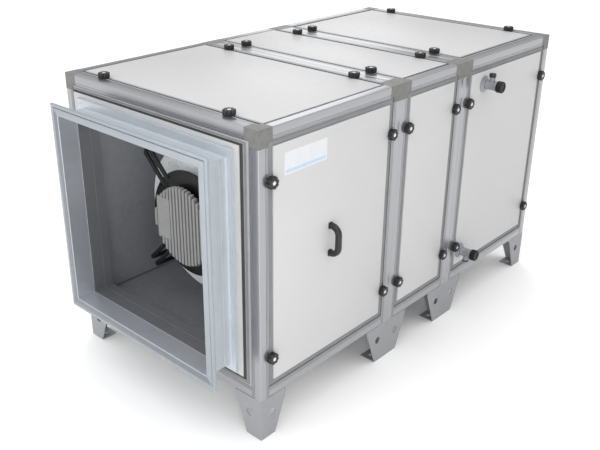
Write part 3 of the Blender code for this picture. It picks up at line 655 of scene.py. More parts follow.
def front_wall():
    """Front wall: its seal is wider on the service side, as seen."""
    y = T
    x0, x1, z0, z1 = -W2 + LOW, W2 - LOW, LOW, H - LOW

    def rect(bm, xa, xb, za, zb, yy):
        return [bm.verts.new(p) for p in ((xa, yy, za), (xb, yy, za), (xb, yy, zb), (xa, yy, zb))]

    led = 0.0085
    lw, rw, tw = 0.0020, 0.0435, 0.0240
    bm = new()
    rows = [(0.0004,) * 4 + (y,), (0.0004,) * 4 + (led,), (lw, rw, tw, tw, led), (lw, rw, tw, tw, 0.0009), (lw + 0.0002, rw + 0.0002, tw + 0.0002, tw + 0.0002, 0.0003),
            (lw + 0.0009, rw + 0.0009, tw + 0.0009, tw + 0.0009, 0.0)]
    rings = [rect(bm, x0 + a, x1 - b, z0 + c, z1 - d, yy) for a, b, c, d, yy in rows]
    n = 0.383
    rings.append(rect(bm, -n, n, DUCT_Z - n, DUCT_Z + n, 0.0))
    rings.append(rect(bm, -n, n, DUCT_Z - n, DUCT_Z + n, y))
    # material 2 on the duct opening's inside is the painted-shade copy of the sheet
    mats = [1, 1, 0, 0, 0, 0, 2, 1]
    for i in range(8):
        quads(bm, rings[i], rings[(i + 1) % 8], mats[i])
    piece("front_end_wall_skin", bm, [WHITE, INNER, SLEEVE_PAINTED_SHADE], "casing", ["front_end_wall"], smooth=50)
    bm = new()
    # fractions of the rim's width, height behind the front plane, material of the next face
    # material 1 is the painted-light copy of the seal, and material 2 is the painted-shade copy in the deep recess by
    # the skin
    prof = [(0.014, led - 0.0001, 0), (0.014, 0.0012, 1), (0.03, 0.0004, 1), (0.24, 0.0003, 1), (0.27, 0.0018, 0), (0.31, 0.0022, 0), (0.33, 0.0014, 0), (0.50, 0.0012, 0),
            (0.53, 0.0006, 1), (0.58, 0.0006, 1), (0.60, 0.0040, 2), (0.96, 0.0046, 2), (0.98, 0.0030, 2), (0.98, led - 0.0001, 2)]
    rings = [rect(bm, x0 + max(lw * f, 0.0004), x1 - rw * f, z0 + tw * f, z1 - tw * f, yy) for f, yy, _ in prof]
    for i in range(len(prof)):
        quads(bm, rings[i], rings[(i + 1) % len(prof)], prof[i][2])
    piece("front_end_wall_rim_seal", bm, [SEAL, SEAL_PAINTED_LIGHT, SEAL_PAINTED_SHADE], "casing", smooth=35)


ACROSS = 2 * (W2 - LOW)
SIDE_H = H - 2 * LOW
for sec, (y0, y1) in SECTIONS.items():
    start, length = y0 + LOW, y1 - y0 - 2 * LOW
    door = {"front": ("front_side_door", "front_door"), "middle": ("middle_side_door", "middle_door"),
            "rear": ("rear_coil_panel", "coil_cassette")}[sec]
    panel(door[0], (W2 - T, start, LOW), Y, Z, X, length, SIDE_H, door[1])
    panel(f"{sec}_back_panel", (-W2 + T, start, LOW), Y, Z, -X, length, SIDE_H, "casing")
    panel(f"{sec}_top_panel", (-W2 + LOW, start, H - T), X, Y, Z, ACROSS, length, f"{sec}_lid",
          rim=(0.0245, 0.0240) if sec == "rear" else (0.0006, 0.0225), lid=True)
    panel(f"{sec}_floor_panel", (-W2 + LOW, start, T), X, Y, -Z, ACROSS, length, "casing")
NECK_IN, INLET = 0.383, 0.360
front_wall()
panel("rear_end_wall", (-W2 + LOW, L - T, LOW), X, Z, Y, ACROSS, SIDE_H, "casing",
      hole=(ACROSS / 2 - INLET, SIDE_H / 2 - INLET))


# ------------------------------------------------------------------ duct collar
def square_sweep(bm, profile, mats=None, mat=0):
    """(half width, y) loop swept round the duct's square section."""
    rings = []
    for half, y in profile:
        dx = -0.0130 if half > 0.4165 and y > -0.02 else 0.0
        rings.append([bm.verts.new((sx * half + dx, y, DUCT_Z + sz * half)) for sx, sz in ((-1, -1), (1, -1), (1, 1), (-1, 1))])
    n = len(rings)
    for i in range(n):
        one, two = rings[i], rings[(i + 1) % n]
        for k in range(4):
            m = mats[i] if mats else mat
            # painted shade: the flange front's bottom and left runs take the SHADE copy, and its right and top runs
            # take the plain flange copy
            if m == 4 and k in (1, 2):
                m = 0
            if m == 5:      # the flange's groove, shaded along its top run only
                m = 4 if k == 2 else 0
            bm.faces.new((one[k], one[(k + 1) % 4], two[(k + 1) % 4], two[k])).material_index = m


bm = new()
D0 = -0.132
loop = [
    (0.3832, -0.0004), (0.3832, -0.052), (0.3836, -0.0525), (0.3836, D0 + 0.0016), (0.3846, D0 + 0.0004), (0.3862, D0),
    (0.4085, D0), (0.4098, D0 + 0.0004), (0.4106, D0 + 0.0022), (0.4122, D0 + 0.0026), (0.4136, D0 + 0.0022), (0.4144, D0 + 0.0006),
    (0.4160, D0), (0.4225, D0), (0.4243, D0 + 0.0007), (0.4250, D0 + 0.0024), (0.4250, D0 + 0.0085), (0.4238, D0 + 0.0100),
    (0.4222, D0 + 0.0100), (0.4214, D0 + 0.0088), (0.4210, D0 + 0.0030), (0.3870, D0 + 0.0028), (0.3858, D0 + 0.0040),
    (0.3856, -0.0460), (0.3872, -0.0450), (0.3874, -0.0170), (0.3882, -0.0150), (0.4172, -0.0146), (0.4188, -0.0138), (0.4190, -0.0120),
    (0.4190, -0.0004),
]
collar_mats = [0 if i < 21 else 3 for i in range(len(loop))]
# material 1 on the neck's rear inner face and on the back face is the painted-shade copy of the sheet
collar_mats[0] = 1
collar_mats[-1] = 1
collar_mats[1] = collar_mats[2] = collar_mats[3] = 2
collar_mats[5] = 4
for i in (7, 8, 9, 10):
    collar_mats[i] = 5
square_sweep(bm, loop, collar_mats)
piece("duct_collar_sheet", bm, [FLANGE, SLEEVE_PAINTED_SHADE, NECK, OUTER, SHADE], "casing", ["duct_collar"], smooth=28)


def add_screw(bm, centre, normal, radius=0.0042, height=0.0024, mat=0, recess=True):
    """Pan head with a small socket."""
    n = Vector(normal).normalized()
    helper = Vector((0, 0, 1)) if abs(n.z) < 0.9 else Vector((1, 0, 0))
    a = n.cross(helper).normalized()
    b = n.cross(a).normalized()
    levels = [(radius, 0.0), (radius, height * 0.45), (radius * 0.86, height * 0.86), (radius * 0.55, height)]
    if recess:
        levels += [(radius * 0.48, height * 0.98), (radius * 0.42, height * 0.35), (0.0, height * 0.30)]
    else:
        levels += [(0.0, height)]
    rings = []
    for r, h in levels:
        if r == 0.0:
            rings.append([bm.verts.new(Vector(centre) + n * h)])
        else:
            rings.append([bm.verts.new(Vector(centre) + n * h + (a * math.cos(t) + b * math.sin(t)) * r)
                          for t in (2 * math.pi * k / 16 for k in range(16))])
    cap(bm, rings[0][::-1], mat)
    for one, two in zip(rings, rings[1:]):
        if len(two) == 1:
            for k in range(16):
                bm.faces.new((one[k], one[(k + 1) % 16], two[0])).material_index = mat
        else:
            quads(bm, one, two, mat)


bm = new()
for sx in (-1, 1):
    for sz in (-1, 1):
        add_screw(bm, (sx * 0.4030 - 0.008, -0.0148, DUCT_Z + sz * 0.4030), (0, -1, 0), 0.0036, 0.0018)
piece("collar_screws", bm, SCREW, "casing", smooth=35)


# ------------------------------------------------------------------ feet
FOOT_T, FOOT_H, FOOT_TOP, FOOT_SOLE = 0.003, 0.168, 0.131, 0.072


def add_foot_sheet(corner_x, corner_y, ways):
    """Folded foot, or a back-to-back pair, with bent corners and round holes."""
    inward = -1 if corner_x > 0 else 1
    top, sole = -0.0003, -FOOT_H
    n = 0.00035

    def pr(outline, axis, lo, hi):
        bm = new()
        add_prism(bm, outline, axis, min(lo, hi), max(lo, hi))
        return bm

    if len(ways) == 2:
        side = [(corner_y - FOOT_TOP, top - n), (corner_y + FOOT_TOP, top - n), (corner_y + FOOT_TOP, -0.014),
                (corner_y + FOOT_SOLE, sole + n), (corner_y - FOOT_SOLE, sole + n), (corner_y - FOOT_TOP, -0.014)]
    else:
        w = ways[0]
        side = [(corner_y + w * n, top - n), (corner_y + w * FOOT_TOP, top - n), (corner_y + w * FOOT_TOP, -0.014),
                (corner_y + w * FOOT_SOLE, sole + n), (corner_y + w * n, sole + n)]
    body = pr(side, "x", corner_x, corner_x + inward * FOOT_T)
    near = corner_x + inward * n
    cross = [(near, top - 2 * n), (corner_x + inward * FOOT_TOP, top - 2 * n), (corner_x + inward * FOOT_TOP, -0.014),
             (corner_x + inward * (FOOT_SOLE - n), sole + 2 * n), (near, sole + 2 * n)]
    ys = [corner_y + w * r for w in ways for r in (0.0, FOOT_T)]
    parts = [pr(cross, "y", min(ys), max(ys))]
    ys = [corner_y + w * r for w in ways for r in ((2 * n if len(ways) == 1 else 0.0), FOOT_SOLE)]
    parts.append(bm_box((corner_x + inward * 2 * n, min(ys), sole), (corner_x + inward * FOOT_SOLE, max(ys), sole + FOOT_T)))
    ys = [corner_y + w * r for w in ways for r in ((2 * n if len(ways) == 1 else 0.0), FOOT_TOP - n)]
    parts.append(bm_box((corner_x + inward * 2 * n, min(ys), top - FOOT_T), (corner_x + inward * P, max(ys), top)))
    body = boolean(body, parts, "UNION")
    holes = [bm_rod("y", (corner_x + inward * 0.056, -0.068), 0.0150, corner_y - 0.02, corner_y + 0.02, 40)]
    for w in ways:
        holes.append(bm_rod("x", (corner_y + w * 0.058, -0.068), 0.0150, corner_x - 0.02, corner_x + 0.02, 40))
        holes.append(bm_rod("z", (corner_x + inward * 0.041, corner_y + w * 0.041), 0.011, sole - 0.02, sole + 0.02, 32))
    return boolean(body, holes, "DIFFERENCE")


for side, cx in (("right", W2), ("left", -W2)):
    for node, cy, ways in ((f"front_{side}_foot", 0.0, (1,)), (f"front_seam_{side}_foot", S1, (-1, 1)),
                           (f"rear_seam_{side}_foot", S2, (-1, 1)), (f"rear_{side}_foot", L, (-1,))):
        piece(f"{node}_sheet", add_foot_sheet(cx, cy, ways), FOOT, "casing", [node],
              smooth=30, bevel=0.0012, segs=3, limit=50)


# ------------------------------------------------------------------ clamp knobs
def knob_mesh(name):
    """Eight-lobed knob along +z with a metal screw in its recess."""
    bm = new()
    n = 96

    def ring(r, depth, z):
        pts = []
        for i in range(n):
            a = 2 * math.pi * i / n
            f = 0.5 + 0.5 * math.cos(8 * a)
            rr = r - depth * (1 - f) ** 1.6
            pts.append(bm.verts.new((rr * math.cos(a), rr * math.sin(a), z)))
        return pts

    rings = [ring(0.0205, 0.0026, 0.0003), ring(0.0212, 0.0036, 0.0010), ring(0.0219, 0.0044, 0.0040), ring(0.0224, 0.0048, 0.0085),
             ring(0.0224, 0.0048, 0.0160), ring(0.0219, 0.0044, 0.0180), ring(0.0208, 0.0036, 0.0192), ring(0.0190, 0.0022, 0.0199),
             ring(0.0165, 0.0004, 0.0202), ring(0.0105, 0.0, 0.0203), ring(0.0094, 0.0, 0.0200), ring(0.0088, 0.0, 0.0190), ring(0.0088, 0.0, 0.0160)]
    for one, two in zip(rings, rings[1:]):
        quads(bm, one, two, 0)
    cap(bm, rings[0][::-1], 0)
    cap(bm, rings[-1], 0)
    # hexagon socket screw
    prof = [(0.0, 0.0161), (0.0072, 0.0161), (0.0076, 0.0168), (0.0074, 0.0186), (0.0064, 0.0196), (0.0044, 0.0199), (0.0036, 0.0196), (0.0034, 0.0180), (0.0, 0.0179)]
    add_lathe(bm, prof, "z", (0, 0), 24, mat=1, closed=False)
    bmesh.ops.recalc_face_normals(bm, faces=bm.faces)
    me = bpy.data.meshes.new(name)
    bm.to_mesh(me)
    bm.free()
    me.materials.append(BLACK)
    me.materials.append(SCREW)
    me.shade_smooth()
    me.set_sharp_from_angle(angle=math.radians(38))
    return me


KNOB = knob_mesh("clamp_knob")
TO_X = Matrix(((0, 0, 1), (1, 0, 0), (0, 1, 0))).to_4x4()
for sec, (y0, y1) in SECTIONS.items():
    for end, y in (("a", y0 + P + 0.009), ("b", y1 - P - 0.009)):
        spots = [(f"{sec}_side_knob_{row}_{end}", (W2, y, z), TO_X) for row, z in (("upper", 0.820), ("lower", 0.165))]
        spots += [(f"{sec}_top_knob_{row}_{end}", (x, y, H), Matrix.Identity(4)) for row, x in (("right", 0.335), ("left", -0.335))]
        for k, (node, at, turn) in enumerate(spots):
            ob = bpy.data.objects.new(f"{node}_grip", KNOB)
            bpy.context.scene.collection.objects.link(ob)
            spin = Matrix.Rotation(0.35 * (k + len(sec)), 4, "Z")
            ob.matrix_world = Matrix.Translation(Vector(at) + OFF) @ turn @ spin
            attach(ob, f"{node}_body")
            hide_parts(node)


# ------------------------------------------------------------------ door handle
HY, HZ0, HH = 0.356, 0.446, 0.133
bm = new()
path = []
mid = 0.0390
r = 0.030
lo, hi = HZ0 + 0.013, HZ0 + HH - 0.013
path += [(W2 + 0.0004, HY, lo), (W2 + 0.006, HY, lo)]
path += [(W2 + mid - r + r * math.sin(t), HY, lo + r - r * math.cos(t)) for t in (math.radians(9 * k) for k in range(1, 11))]
path += [(W2 + mid, HY, lo + (hi - lo) * f) for f in (0.40, 0.5, 0.60)]
path += [(W2 + mid - r + r * math.cos(t), HY, hi - r + r * math.sin(t)) for t in (math.radians(9 * k) for k in range(0, 10))]
path += [(W2 + 0.006, HY, hi), (W2 + 0.0004, HY, hi)]
add_sweep(bm, path, rounded_rect(0.0215, 0.0217, 0.0075, 5), (0, 1, 0))
for z in (lo, hi):
    add_prism(bm, [(HY + a, z + b) for a, b in rounded_rect(0.0218, 0.0255, 0.006, 5)], "x", W2 + 0.0003, W2 + 0.0035)
handle = piece("door_handle_grip", bm, BLACK, "front_door", ["door_handle"], smooth=45)

# plain label, no lettering
bm = new()
LY0, LY1, LZ0, LZ1 = 0.116, 0.326, 0.822, 0.900
add_prism(bm, [((LY0 + LY1) / 2 + a, (LZ0 + LZ1) / 2 + b) for a, b in rounded_rect(LY1 - LY0, LZ1 - LZ0, 0.004, 4)], "x", W2 + 0.00010, W2 + 0.00070, 0)
piece("plain_label", bm, [LABEL], "front_door", smooth=30)
bm = new()
add_prism(bm, [((LY0 + LY1) / 2 + a, LZ0 + 0.0115 + b) for a, b in rounded_rect(LY1 - LY0 - 0.012, 0.010, 0.003, 4)], "x", W2 + 0.00072, W2 + 0.00095, 0)
piece("plain_label_band", bm, [LABEL_BAND], "front_door", smooth=30)


# ------------------------------------------------------------------ fan motor
MY, MR, RING_Y = 0.105, 0.160, 0.149
bm = new()
root = MY + 0.007
base_r = 0.1435
# painted shade: the drum's side and its step to the ring (material 1) take the black coat where shade falls between
# the fin ends and the ring
add_lathe(bm, [(0.0, root), (base_r - 0.002, root), (base_r, root + 0.002), (base_r, root + 0.007), (base_r - 0.006, root + 0.009), (base_r - 0.006, RING_Y - 0.006), (base_r - 0.007, RING_Y - 0.0048), (0.122, RING_Y - 0.0046),
               (0.122, RING_Y + 0.0115), (0.0200, RING_Y + 0.0115), (0.0200, 0.249), (0.0, 0.249)], "y", (0, FAN_Z), 96, closed=False,
          mats=[0, 0, 0, 1, 1, 1, 1, 1, 0, 0, 0, 0])
PITCH = 0.0185
PATCH = (-0.138, -0.0655, -0.072, 0.094)       # x0, x1, dz0, dz1 of the flat pad
for k in range(-9, 10):
    x = -0.0005 + PITCH * k
    tip, foot_w = 0.0066, 0.0066
    edge = max(abs(x - foot_w), abs(x + foot_w))
    if edge > MR - 0.001:
        continue
    reach = math.sqrt(MR ** 2 - edge ** 2)
    z0, z1 = FAN_Z - reach, FAN_Z + reach
    # side view of one fin: chamfered ends that stand past the drum as teeth
    outline = [(MY + 0.0185, z0 + 0.0012, foot_w), (MY + 0.0120, z0 + 0.0012, foot_w * 0.92), (MY + 0.004, z0 + 0.0022, tip), (MY, z0 + 0.0060, tip - 0.0008),
               (MY, z1 - 0.0060, tip - 0.0008), (MY + 0.004, z1 - 0.0022, tip), (MY + 0.0120, z1 - 0.0012, foot_w * 0.92), (MY + 0.0185, z1 - 0.0012, foot_w)]
    low = [bm.verts.new((x - c, a, b)) for a, b, c in outline]
    high = [bm.verts.new((x + c, a, b)) for a, b, c in outline]
    quads(bm, low, high)
    cap(bm, low[::-1])
    cap(bm, high)
add_box(bm, (PATCH[0], MY + 0.0002, FAN_Z + PATCH[2]), (PATCH[1], root + 0.002, FAN_Z + PATCH[3]))
motor = piece("fan_motor_housing", bm, [CAST, BLACK_COAT_AND_SHADE], "casing", ["fan_motor"], smooth=35, bevel=0.0009, segs=2)

# ------------------------------------------------------------------ fan bracket
RR, ARM_R, SPREAD, FW = 0.211, 0.362, 0.017, 0.497
bm = new()
add_lathe(bm, [(0.1288, RING_Y + 0.002), (0.1300, RING_Y + 0.0005), (RR - 0.0030, RING_Y), (RR - 0.0008, RING_Y + 0.0008), (RR, RING_Y + 0.0028),
               (RR, RING_Y + 0.0085), (RR - 0.0010, RING_Y + 0.0105), (RR - 0.0030, RING_Y + 0.0110), (0.1300, RING_Y + 0.0108), (0.1288, RING_Y + 0.0098)],
          "y", (0, FAN_Z), 128)
for q in range(4):
    ang = math.radians(45 + 90 * q)
    out = Vector((math.cos(ang), 0, math.sin(ang)))
    across = Vector((-math.sin(ang), 0, math.cos(ang)))
    mid_f = Vector((0, 0, FAN_Z))
    for side in (-SPREAD, SPREAD):
        y_a = RING_Y + 0.005
        bend = 0.026
        r_end = ARM_R - 0.008
        pts = [mid_f + out * rr + across * side + Y * y_a for rr in (0.150, 0.20, 0.26, r_end - bend)]
        for k in range(1, 9):
            t = math.radians(90 * k / 8)
            pts.append(mid_f + out * (r_end - bend + bend * math.sin(t)) + across * side + Y * (y_a + bend - bend * math.cos(t)))
        pts += [mid_f + out * r_end + across * side + Y * yy for yy in (0.25, 0.35, FW - 0.010)]
        add_sweep(bm, pts, rounded_rect(0.0155, 0.0155, 0.0045, 4), across)
    # foot pad on the fan wall
    lo_r, hi_r = ARM_R - 0.021, ARM_R + 0.011
    corners = [(lo_r, -0.039), (hi_r, -0.039), (hi_r, 0.039), (lo_r, 0.039)]
    low = [bm.verts.new(mid_f + out * a + across * b + Y * (FW - 0.0115)) for a, b in corners]
    high = [bm.verts.new(mid_f + out * a + across * b + Y * (FW - 0.0004)) for a, b in corners]
    quads(bm, low, high)
    cap(bm, low[::-1])
    cap(bm, high)
bracket = piece("fan_bracket_arms", bm, BLACK_COAT_AND_SHADE, "casing", ["fan_bracket"], smooth=35, bevel=0.0008, segs=2, limit=60)
bm = new()
for q in range(4):
    ang = math.radians(45 + 90 * q)
    out = Vector((math.cos(ang), 0, math.sin(ang)))
    across = Vector((-math.sin(ang), 0, math.cos(ang)))
    for s in (-1, 1):
        at = Vector((0, RING_Y - 0.0002, FAN_Z)) + out * 0.196 + across * s * 0.036
        add_screw(bm, at, (0, -1, 0), 0.0055, 0.0045)
        at = Vector((0, RING_Y - 0.0035, FAN_Z)) + out * 0.180 + across * s * SPREAD
        add_screw(bm, at, (0, -1, 0), 0.0048, 0.0036)
        at = Vector((0, FW - 0.0116, FAN_Z)) + out * (ARM_R - 0.005) + across * s * 0.032
        add_screw(bm, at, (0, -1, 0), 0.0048, 0.0042)
piece("fan_bracket_screws", bm, BLACK_COAT_AND_SHADE, "casing", smooth=35)

# ------------------------------------------------------------------ impeller
BP, WR, EY, ER = 0.220, 0.300, 0.400, 0.192
bm = new()
SP = 0.0207
cup = RING_Y + 0.0135
add_lathe(bm, [
    (SP, cup), (0.1085, cup), (0.1130, cup + 0.0012), (0.1165, cup + 0.0045), (0.1178, cup + 0.0090), (0.1180, BP - 0.0005),
    (0.1190, BP), (WR - 0.0012, BP), (WR, BP + 0.0010), (WR, BP + 0.0030), (WR - 0.0012, BP + 0.0040), (0.1195, BP + 0.0040), (0.1180, BP + 0.0055),
    (0.1180, BP + 0.046), (0.1165, BP + 0.054), (0.1120, BP + 0.061), (0.1040, BP + 0.0655), (0.0, BP + 0.066), (0.0, BP + 0.034), (SP, BP + 0.034),
], "y", (0, FAN_Z), 128)
add_lathe(bm, [
    (ER, EY + 0.0055), (ER, EY - 0.0030), (ER + 0.005, EY - 0.0070), (ER + 0.016, EY - 0.0130), (0.240, EY - 0.0215), (0.270, EY - 0.0265), (WR - 0.001, EY - 0.0298), (WR, EY - 0.0290),
    (WR, EY - 0.0265), (WR - 0.001, EY - 0.0258), (0.270, EY - 0.0225), (0.240, EY - 0.0175), (ER + 0.018, EY - 0.0095), (ER + 0.008, EY - 0.0035), (ER + 0.004, EY + 0.0015), (ER + 0.0035, EY + 0.0055),
], "y", (0, FAN_Z), 128)
for i in range(7):
    turn = 2 * math.pi * i / 7
    steps = 18
    line = []
    for k in range(steps + 1):
        t = k / steps
        rad = 0.1850 + (WR - 0.005 - 0.1850) * t
        a = turn + 0.95 * t - 0.25 * t * t
        line.append((rad, a))
    pts = [Vector((rad * math.cos(a), FAN_Z + rad * math.sin(a))) for rad, a in line]
    left_lo, left_hi, right_lo, right_hi = [], [], [], []
    for k, p in enumerate(pts):
        d = (pts[min(k + 1, steps)] - pts[max(k - 1, 0)]).normalized()
        nrm = Vector((-d.y, d.x)) * 0.0013
        rad = line[k][0]
        if rad <= ER + 0.004:
            top = EY - 0.012 + 0.006 * (rad - 0.165) / (ER - 0.165)
        else:
            f = (rad - ER) / (WR - ER)
            top = EY - 0.0062 - 0.0222 * f ** 0.8
        for bag_lo, bag_hi, s in ((left_lo, left_hi, 1), (right_lo, right_hi, -1)):
            q = p + nrm * s
            bag_lo.append(bm.verts.new((q.x, BP + 0.003, q.y)))
            bag_hi.append(bm.verts.new((q.x, top, q.y)))
    low = left_lo + right_lo[::-1]
    high = left_hi + right_hi[::-1]
    quads(bm, low, high)
    for k in range(steps):
        bm.faces.new((left_lo[k], left_lo[k + 1], right_lo[k + 1], right_lo[k]))
        bm.faces.new((left_hi[k], left_hi[k + 1], right_hi[k + 1], right_hi[k]))
piece("fan_wheel", bm, SPUN, "fan_rotor", ["fan_impeller"], smooth=32)
bm = new()
for k in range(6):
    a = math.radians(60 * k)
    at = Vector((0.150 * math.cos(a), BP - 0.0001, FAN_Z + 0.150 * math.sin(a)))
    add_screw(bm, at, (0, -1, 0), 0.0050, 0.0038)
piece("fan_wheel_screws", bm, SCREW, "fan_rotor", smooth=35)

# ------------------------------------------------------------------ fan wall
bm = new()
half, zlow, zhigh = W2 - P - 0.0004, P + 0.0004, H - P - 0.0004
N = 128
HOLE = 0.2135


def wall_ring(y, inner):
    ring = []
    for i in range(N):
        a = 2 * math.pi * (i + 0.5) / N
        c, s = math.cos(a), math.sin(a)
        if inner:
            ring.append(bm.verts.new((HOLE * c, y, FAN_Z + HOLE * s)))
        else:
            k = min((half / abs(c)) if abs(c) > 1e-9 else 9, ((zhigh - FAN_Z) / s) if s > 1e-9 else 9, ((zlow - FAN_Z) / s) if s < -1e-9 else 9)
            ring.append(bm.verts.new((k * c, y, FAN_Z + k * s)))
    return ring


a0, a1, b0, b1 = wall_ring(FW, True), wall_ring(FW, False), wall_ring(FW + 0.003, False), wall_ring(FW + 0.003, True)
quads(bm, a0, a1)
quads(bm, a1, b0)
quads(bm, b0, b1)
quads(bm, b1, a0)
prof_out = [(0.2240, FW + 0.0029), (0.2240, FW + 0.0001), (0.2150, FW - 0.0020), (0.2070, FW - 0.0080), (0.1990, FW - 0.0190), (0.1920, FW - 0.033), (0.1855, FW - 0.052), (0.1820, FW - 0.075), (0.1803, FW - 0.108)]
prof_in = [(0.1775, FW - 0.108), (0.1788, FW - 0.076), (0.1824, FW - 0.053), (0.1888, FW - 0.034), (0.1958, FW - 0.0195), (0.2035, FW - 0.0085), (0.2120, FW - 0.0002), (0.2180, FW + 0.0029)]
add_lathe(bm, prof_out + prof_in, "y", (0, FAN_Z), 128)
piece("fan_wall_sheet", bm, GALV, "casing", ["fan_wall"], smooth=28)

# ------------------------------------------------------------------ air filter
F0, F1 = 1.700, 1.796
fh, fl, ft = W2 - T - 0.0064, T + 0.0044, H - T - 0.0064
bm = new()
B = 0.0275
corner = Vector((-fh, F0, fl))
add_ring(bm, corner, X, Z, Y, 2 * fh, ft - fl, [(0.0, 0.0), (0.0, F1 - F0), (B, F1 - F0), (B, F1 - F0 - 0.0012), (0.0014, F1 - F0 - 0.0014), (0.0014, 0.0014), (B, 0.0012), (B, 0.0)])
piece("filter_frame", bm, GALV, "casing", smooth=30, bevel=0.0005, segs=1)
bm = new()
span = 2 * (fh - 0.004)
pleats = 54
near, far = F0 + 0.010, F1 - 0.010
left, right = [], []
steps = 8
total = pleats * steps
front_pts, back_pts = [], []
for i in range(total + 1):
    ph = (i / steps) % 1.0
    tri = 1 - abs(2 * ph - 1)
    soft = 0.5 - 0.5 * math.cos(math.pi * tri)
    f = 0.75 * tri + 0.25 * soft
    y = near + (far - near) * f
    x = -span / 2 + span * i / total
    front_pts.append((x, y - 0.0022))
    back_pts.append((x, y + 0.0022))
outline = front_pts + back_pts[::-1]
low = [bm.verts.new((x, y, fl + 0.004)) for x, y in outline]
high = [bm.verts.new((x, y, ft - 0.004)) for x, y in outline]
quads(bm, low, high)
m = len(front_pts)
for i in range(m - 1):
    a, b = i, len(outline) - 1 - i
    bm.faces.new((low[a], low[a + 1], low[b - 1], low[b]))
    bm.faces.new((high[a], high[a + 1], high[b - 1], high[b]))
filt = piece("filter_pleats", bm, FLEECE, "casing", ["air_filter"], smooth=60)
bm = new()
for k in range(1, 6):
    z = fl + (ft - fl) * k / 6
    add_box(bm, (-span / 2, F1 - 0.0100, z - 0.0012), (span / 2, F1 - 0.0070, z + 0.0012))
    add_box(bm, (-span / 2, F0 + 0.0070, z - 0.0012), (span / 2, F0 + 0.0100, z + 0.0012))
piece("filter_spacer_beads", bm, FLEECE, "casing", smooth=30, bevel=0.0006, segs=2)

# ------------------------------------------------------------------ coil
C0, C1 = 1.245, 1.375
CL, CH = 0.0840, 0.9350
bm = new()
xa, xb = -0.4080, 0.3920
count = 180
for k in range(count):
    x = xa + 0.002 + (xb - xa - 0.004) * (k + 0.5) / count
    add_box(bm, (x - 0.00035, C0 + 0.004, CL + 0.013), (x + 0.00035, C1 - 0.004, CH - 0.013))
piece("coil_fins", bm, FINS_M, "coil_cassette", ["run_around_coil"], smooth=30)
bm = new()


def flanged(x0, x1, y0, y1, z0, z1, mat=0):
    add_box(bm, (x0, y0, z0), (x1, y1, z1), mat)


add_box(bm, (-0.4115, C0, CL + 0.0003), (-0.4085, C1, CH - 0.0003))
add_box(bm, (-0.4280, C0, CL + 0.0003), (-0.4117, C0 + 0.0020, CH - 0.0003))
add_box(bm, (-0.4280, C1 - 0.0020, CL + 0.0003), (-0.4117, C1, CH - 0.0003))
add_box(bm, (0.3925, C0, CL + 0.0003), (0.3955, C1, CH - 0.0003))
add_box(bm, (0.3957, C0, CL + 0.0003), (0.4040, C0 + 0.0020, CH - 0.0003))
add_box(bm, (0.3957, C1 - 0.0020, CL + 0.0003), (0.4040, C1, CH - 0.0003))
for z0, z1, flat in ((CL, CL + 0.0125, CL), (CH - 0.0125, CH, CH - 0.002)):
    add_box(bm, (-0.4080, C0 + 0.0003, flat), (0.3920, C1 - 0.0003, flat + 0.002))
    add_box(bm, (-0.4080, C0, z0), (0.3920, C0 + 0.0018, z1))
    add_box(bm, (-0.4080, C1 - 0.0018, z0), (0.3920, C1, z1))
piece("coil_casing", bm, GALV, "coil_cassette", smooth=30, bevel=0.0005, segs=1)
bm = new()
# return bends at the blind end
rows = 12
for k in range(rows):
    z = CL + 0.050 + (CH - CL - 0.100) * k / (rows - 1)
    for y in (C0 + 0.033, C0 + 0.097):
        dz = 0.0115
        pts = [(-0.408, y, z - dz), (-0.4140, y, z - dz)]
        for j in range(1, 8):
            t = math.radians(180 * j / 8)
            pts.append((-0.4140 - 0.0100 * math.sin(t), y, z - dz * math.cos(t)))
        pts += [(-0.4140, y, z + dz), (-0.408, y, z + dz)]
        add_sweep(bm, pts, circle((0, 0), 0.0045, 12), (0, 1, 0))
piece("coil_return_bends", bm, COPPER, "coil_cassette", smooth=45)
bm = new()
HX = 0.436
HI, LO_P = (1.343, 0.879), (1.277, 0.128)
for (y, z), other in ((HI, 0.30), (LO_P, 0.70)):
    e0, e1 = sorted((z, other))
    e0, e1 = e0 - 0.024, e1 + 0.024
    add_lathe(bm, [(0.0, e0), (0.0150, e0), (0.0182, e0 + 0.0015), (0.0190, e0 + 0.005), (0.0190, e1 - 0.005), (0.0182, e1 - 0.0015), (0.0150, e1), (0.0, e1)],
              "z", (HX, y), 32, closed=False)
    for s in range(7):
        at = e0 + 0.05 + (e1 - e0 - 0.10) * s / 6
        add_prism(bm, circle((y, at), 0.0056, 14), "x", 0.3960, HX - 0.012)
piece("coil_headers", bm, COPPER, "coil_cassette", smooth=35)


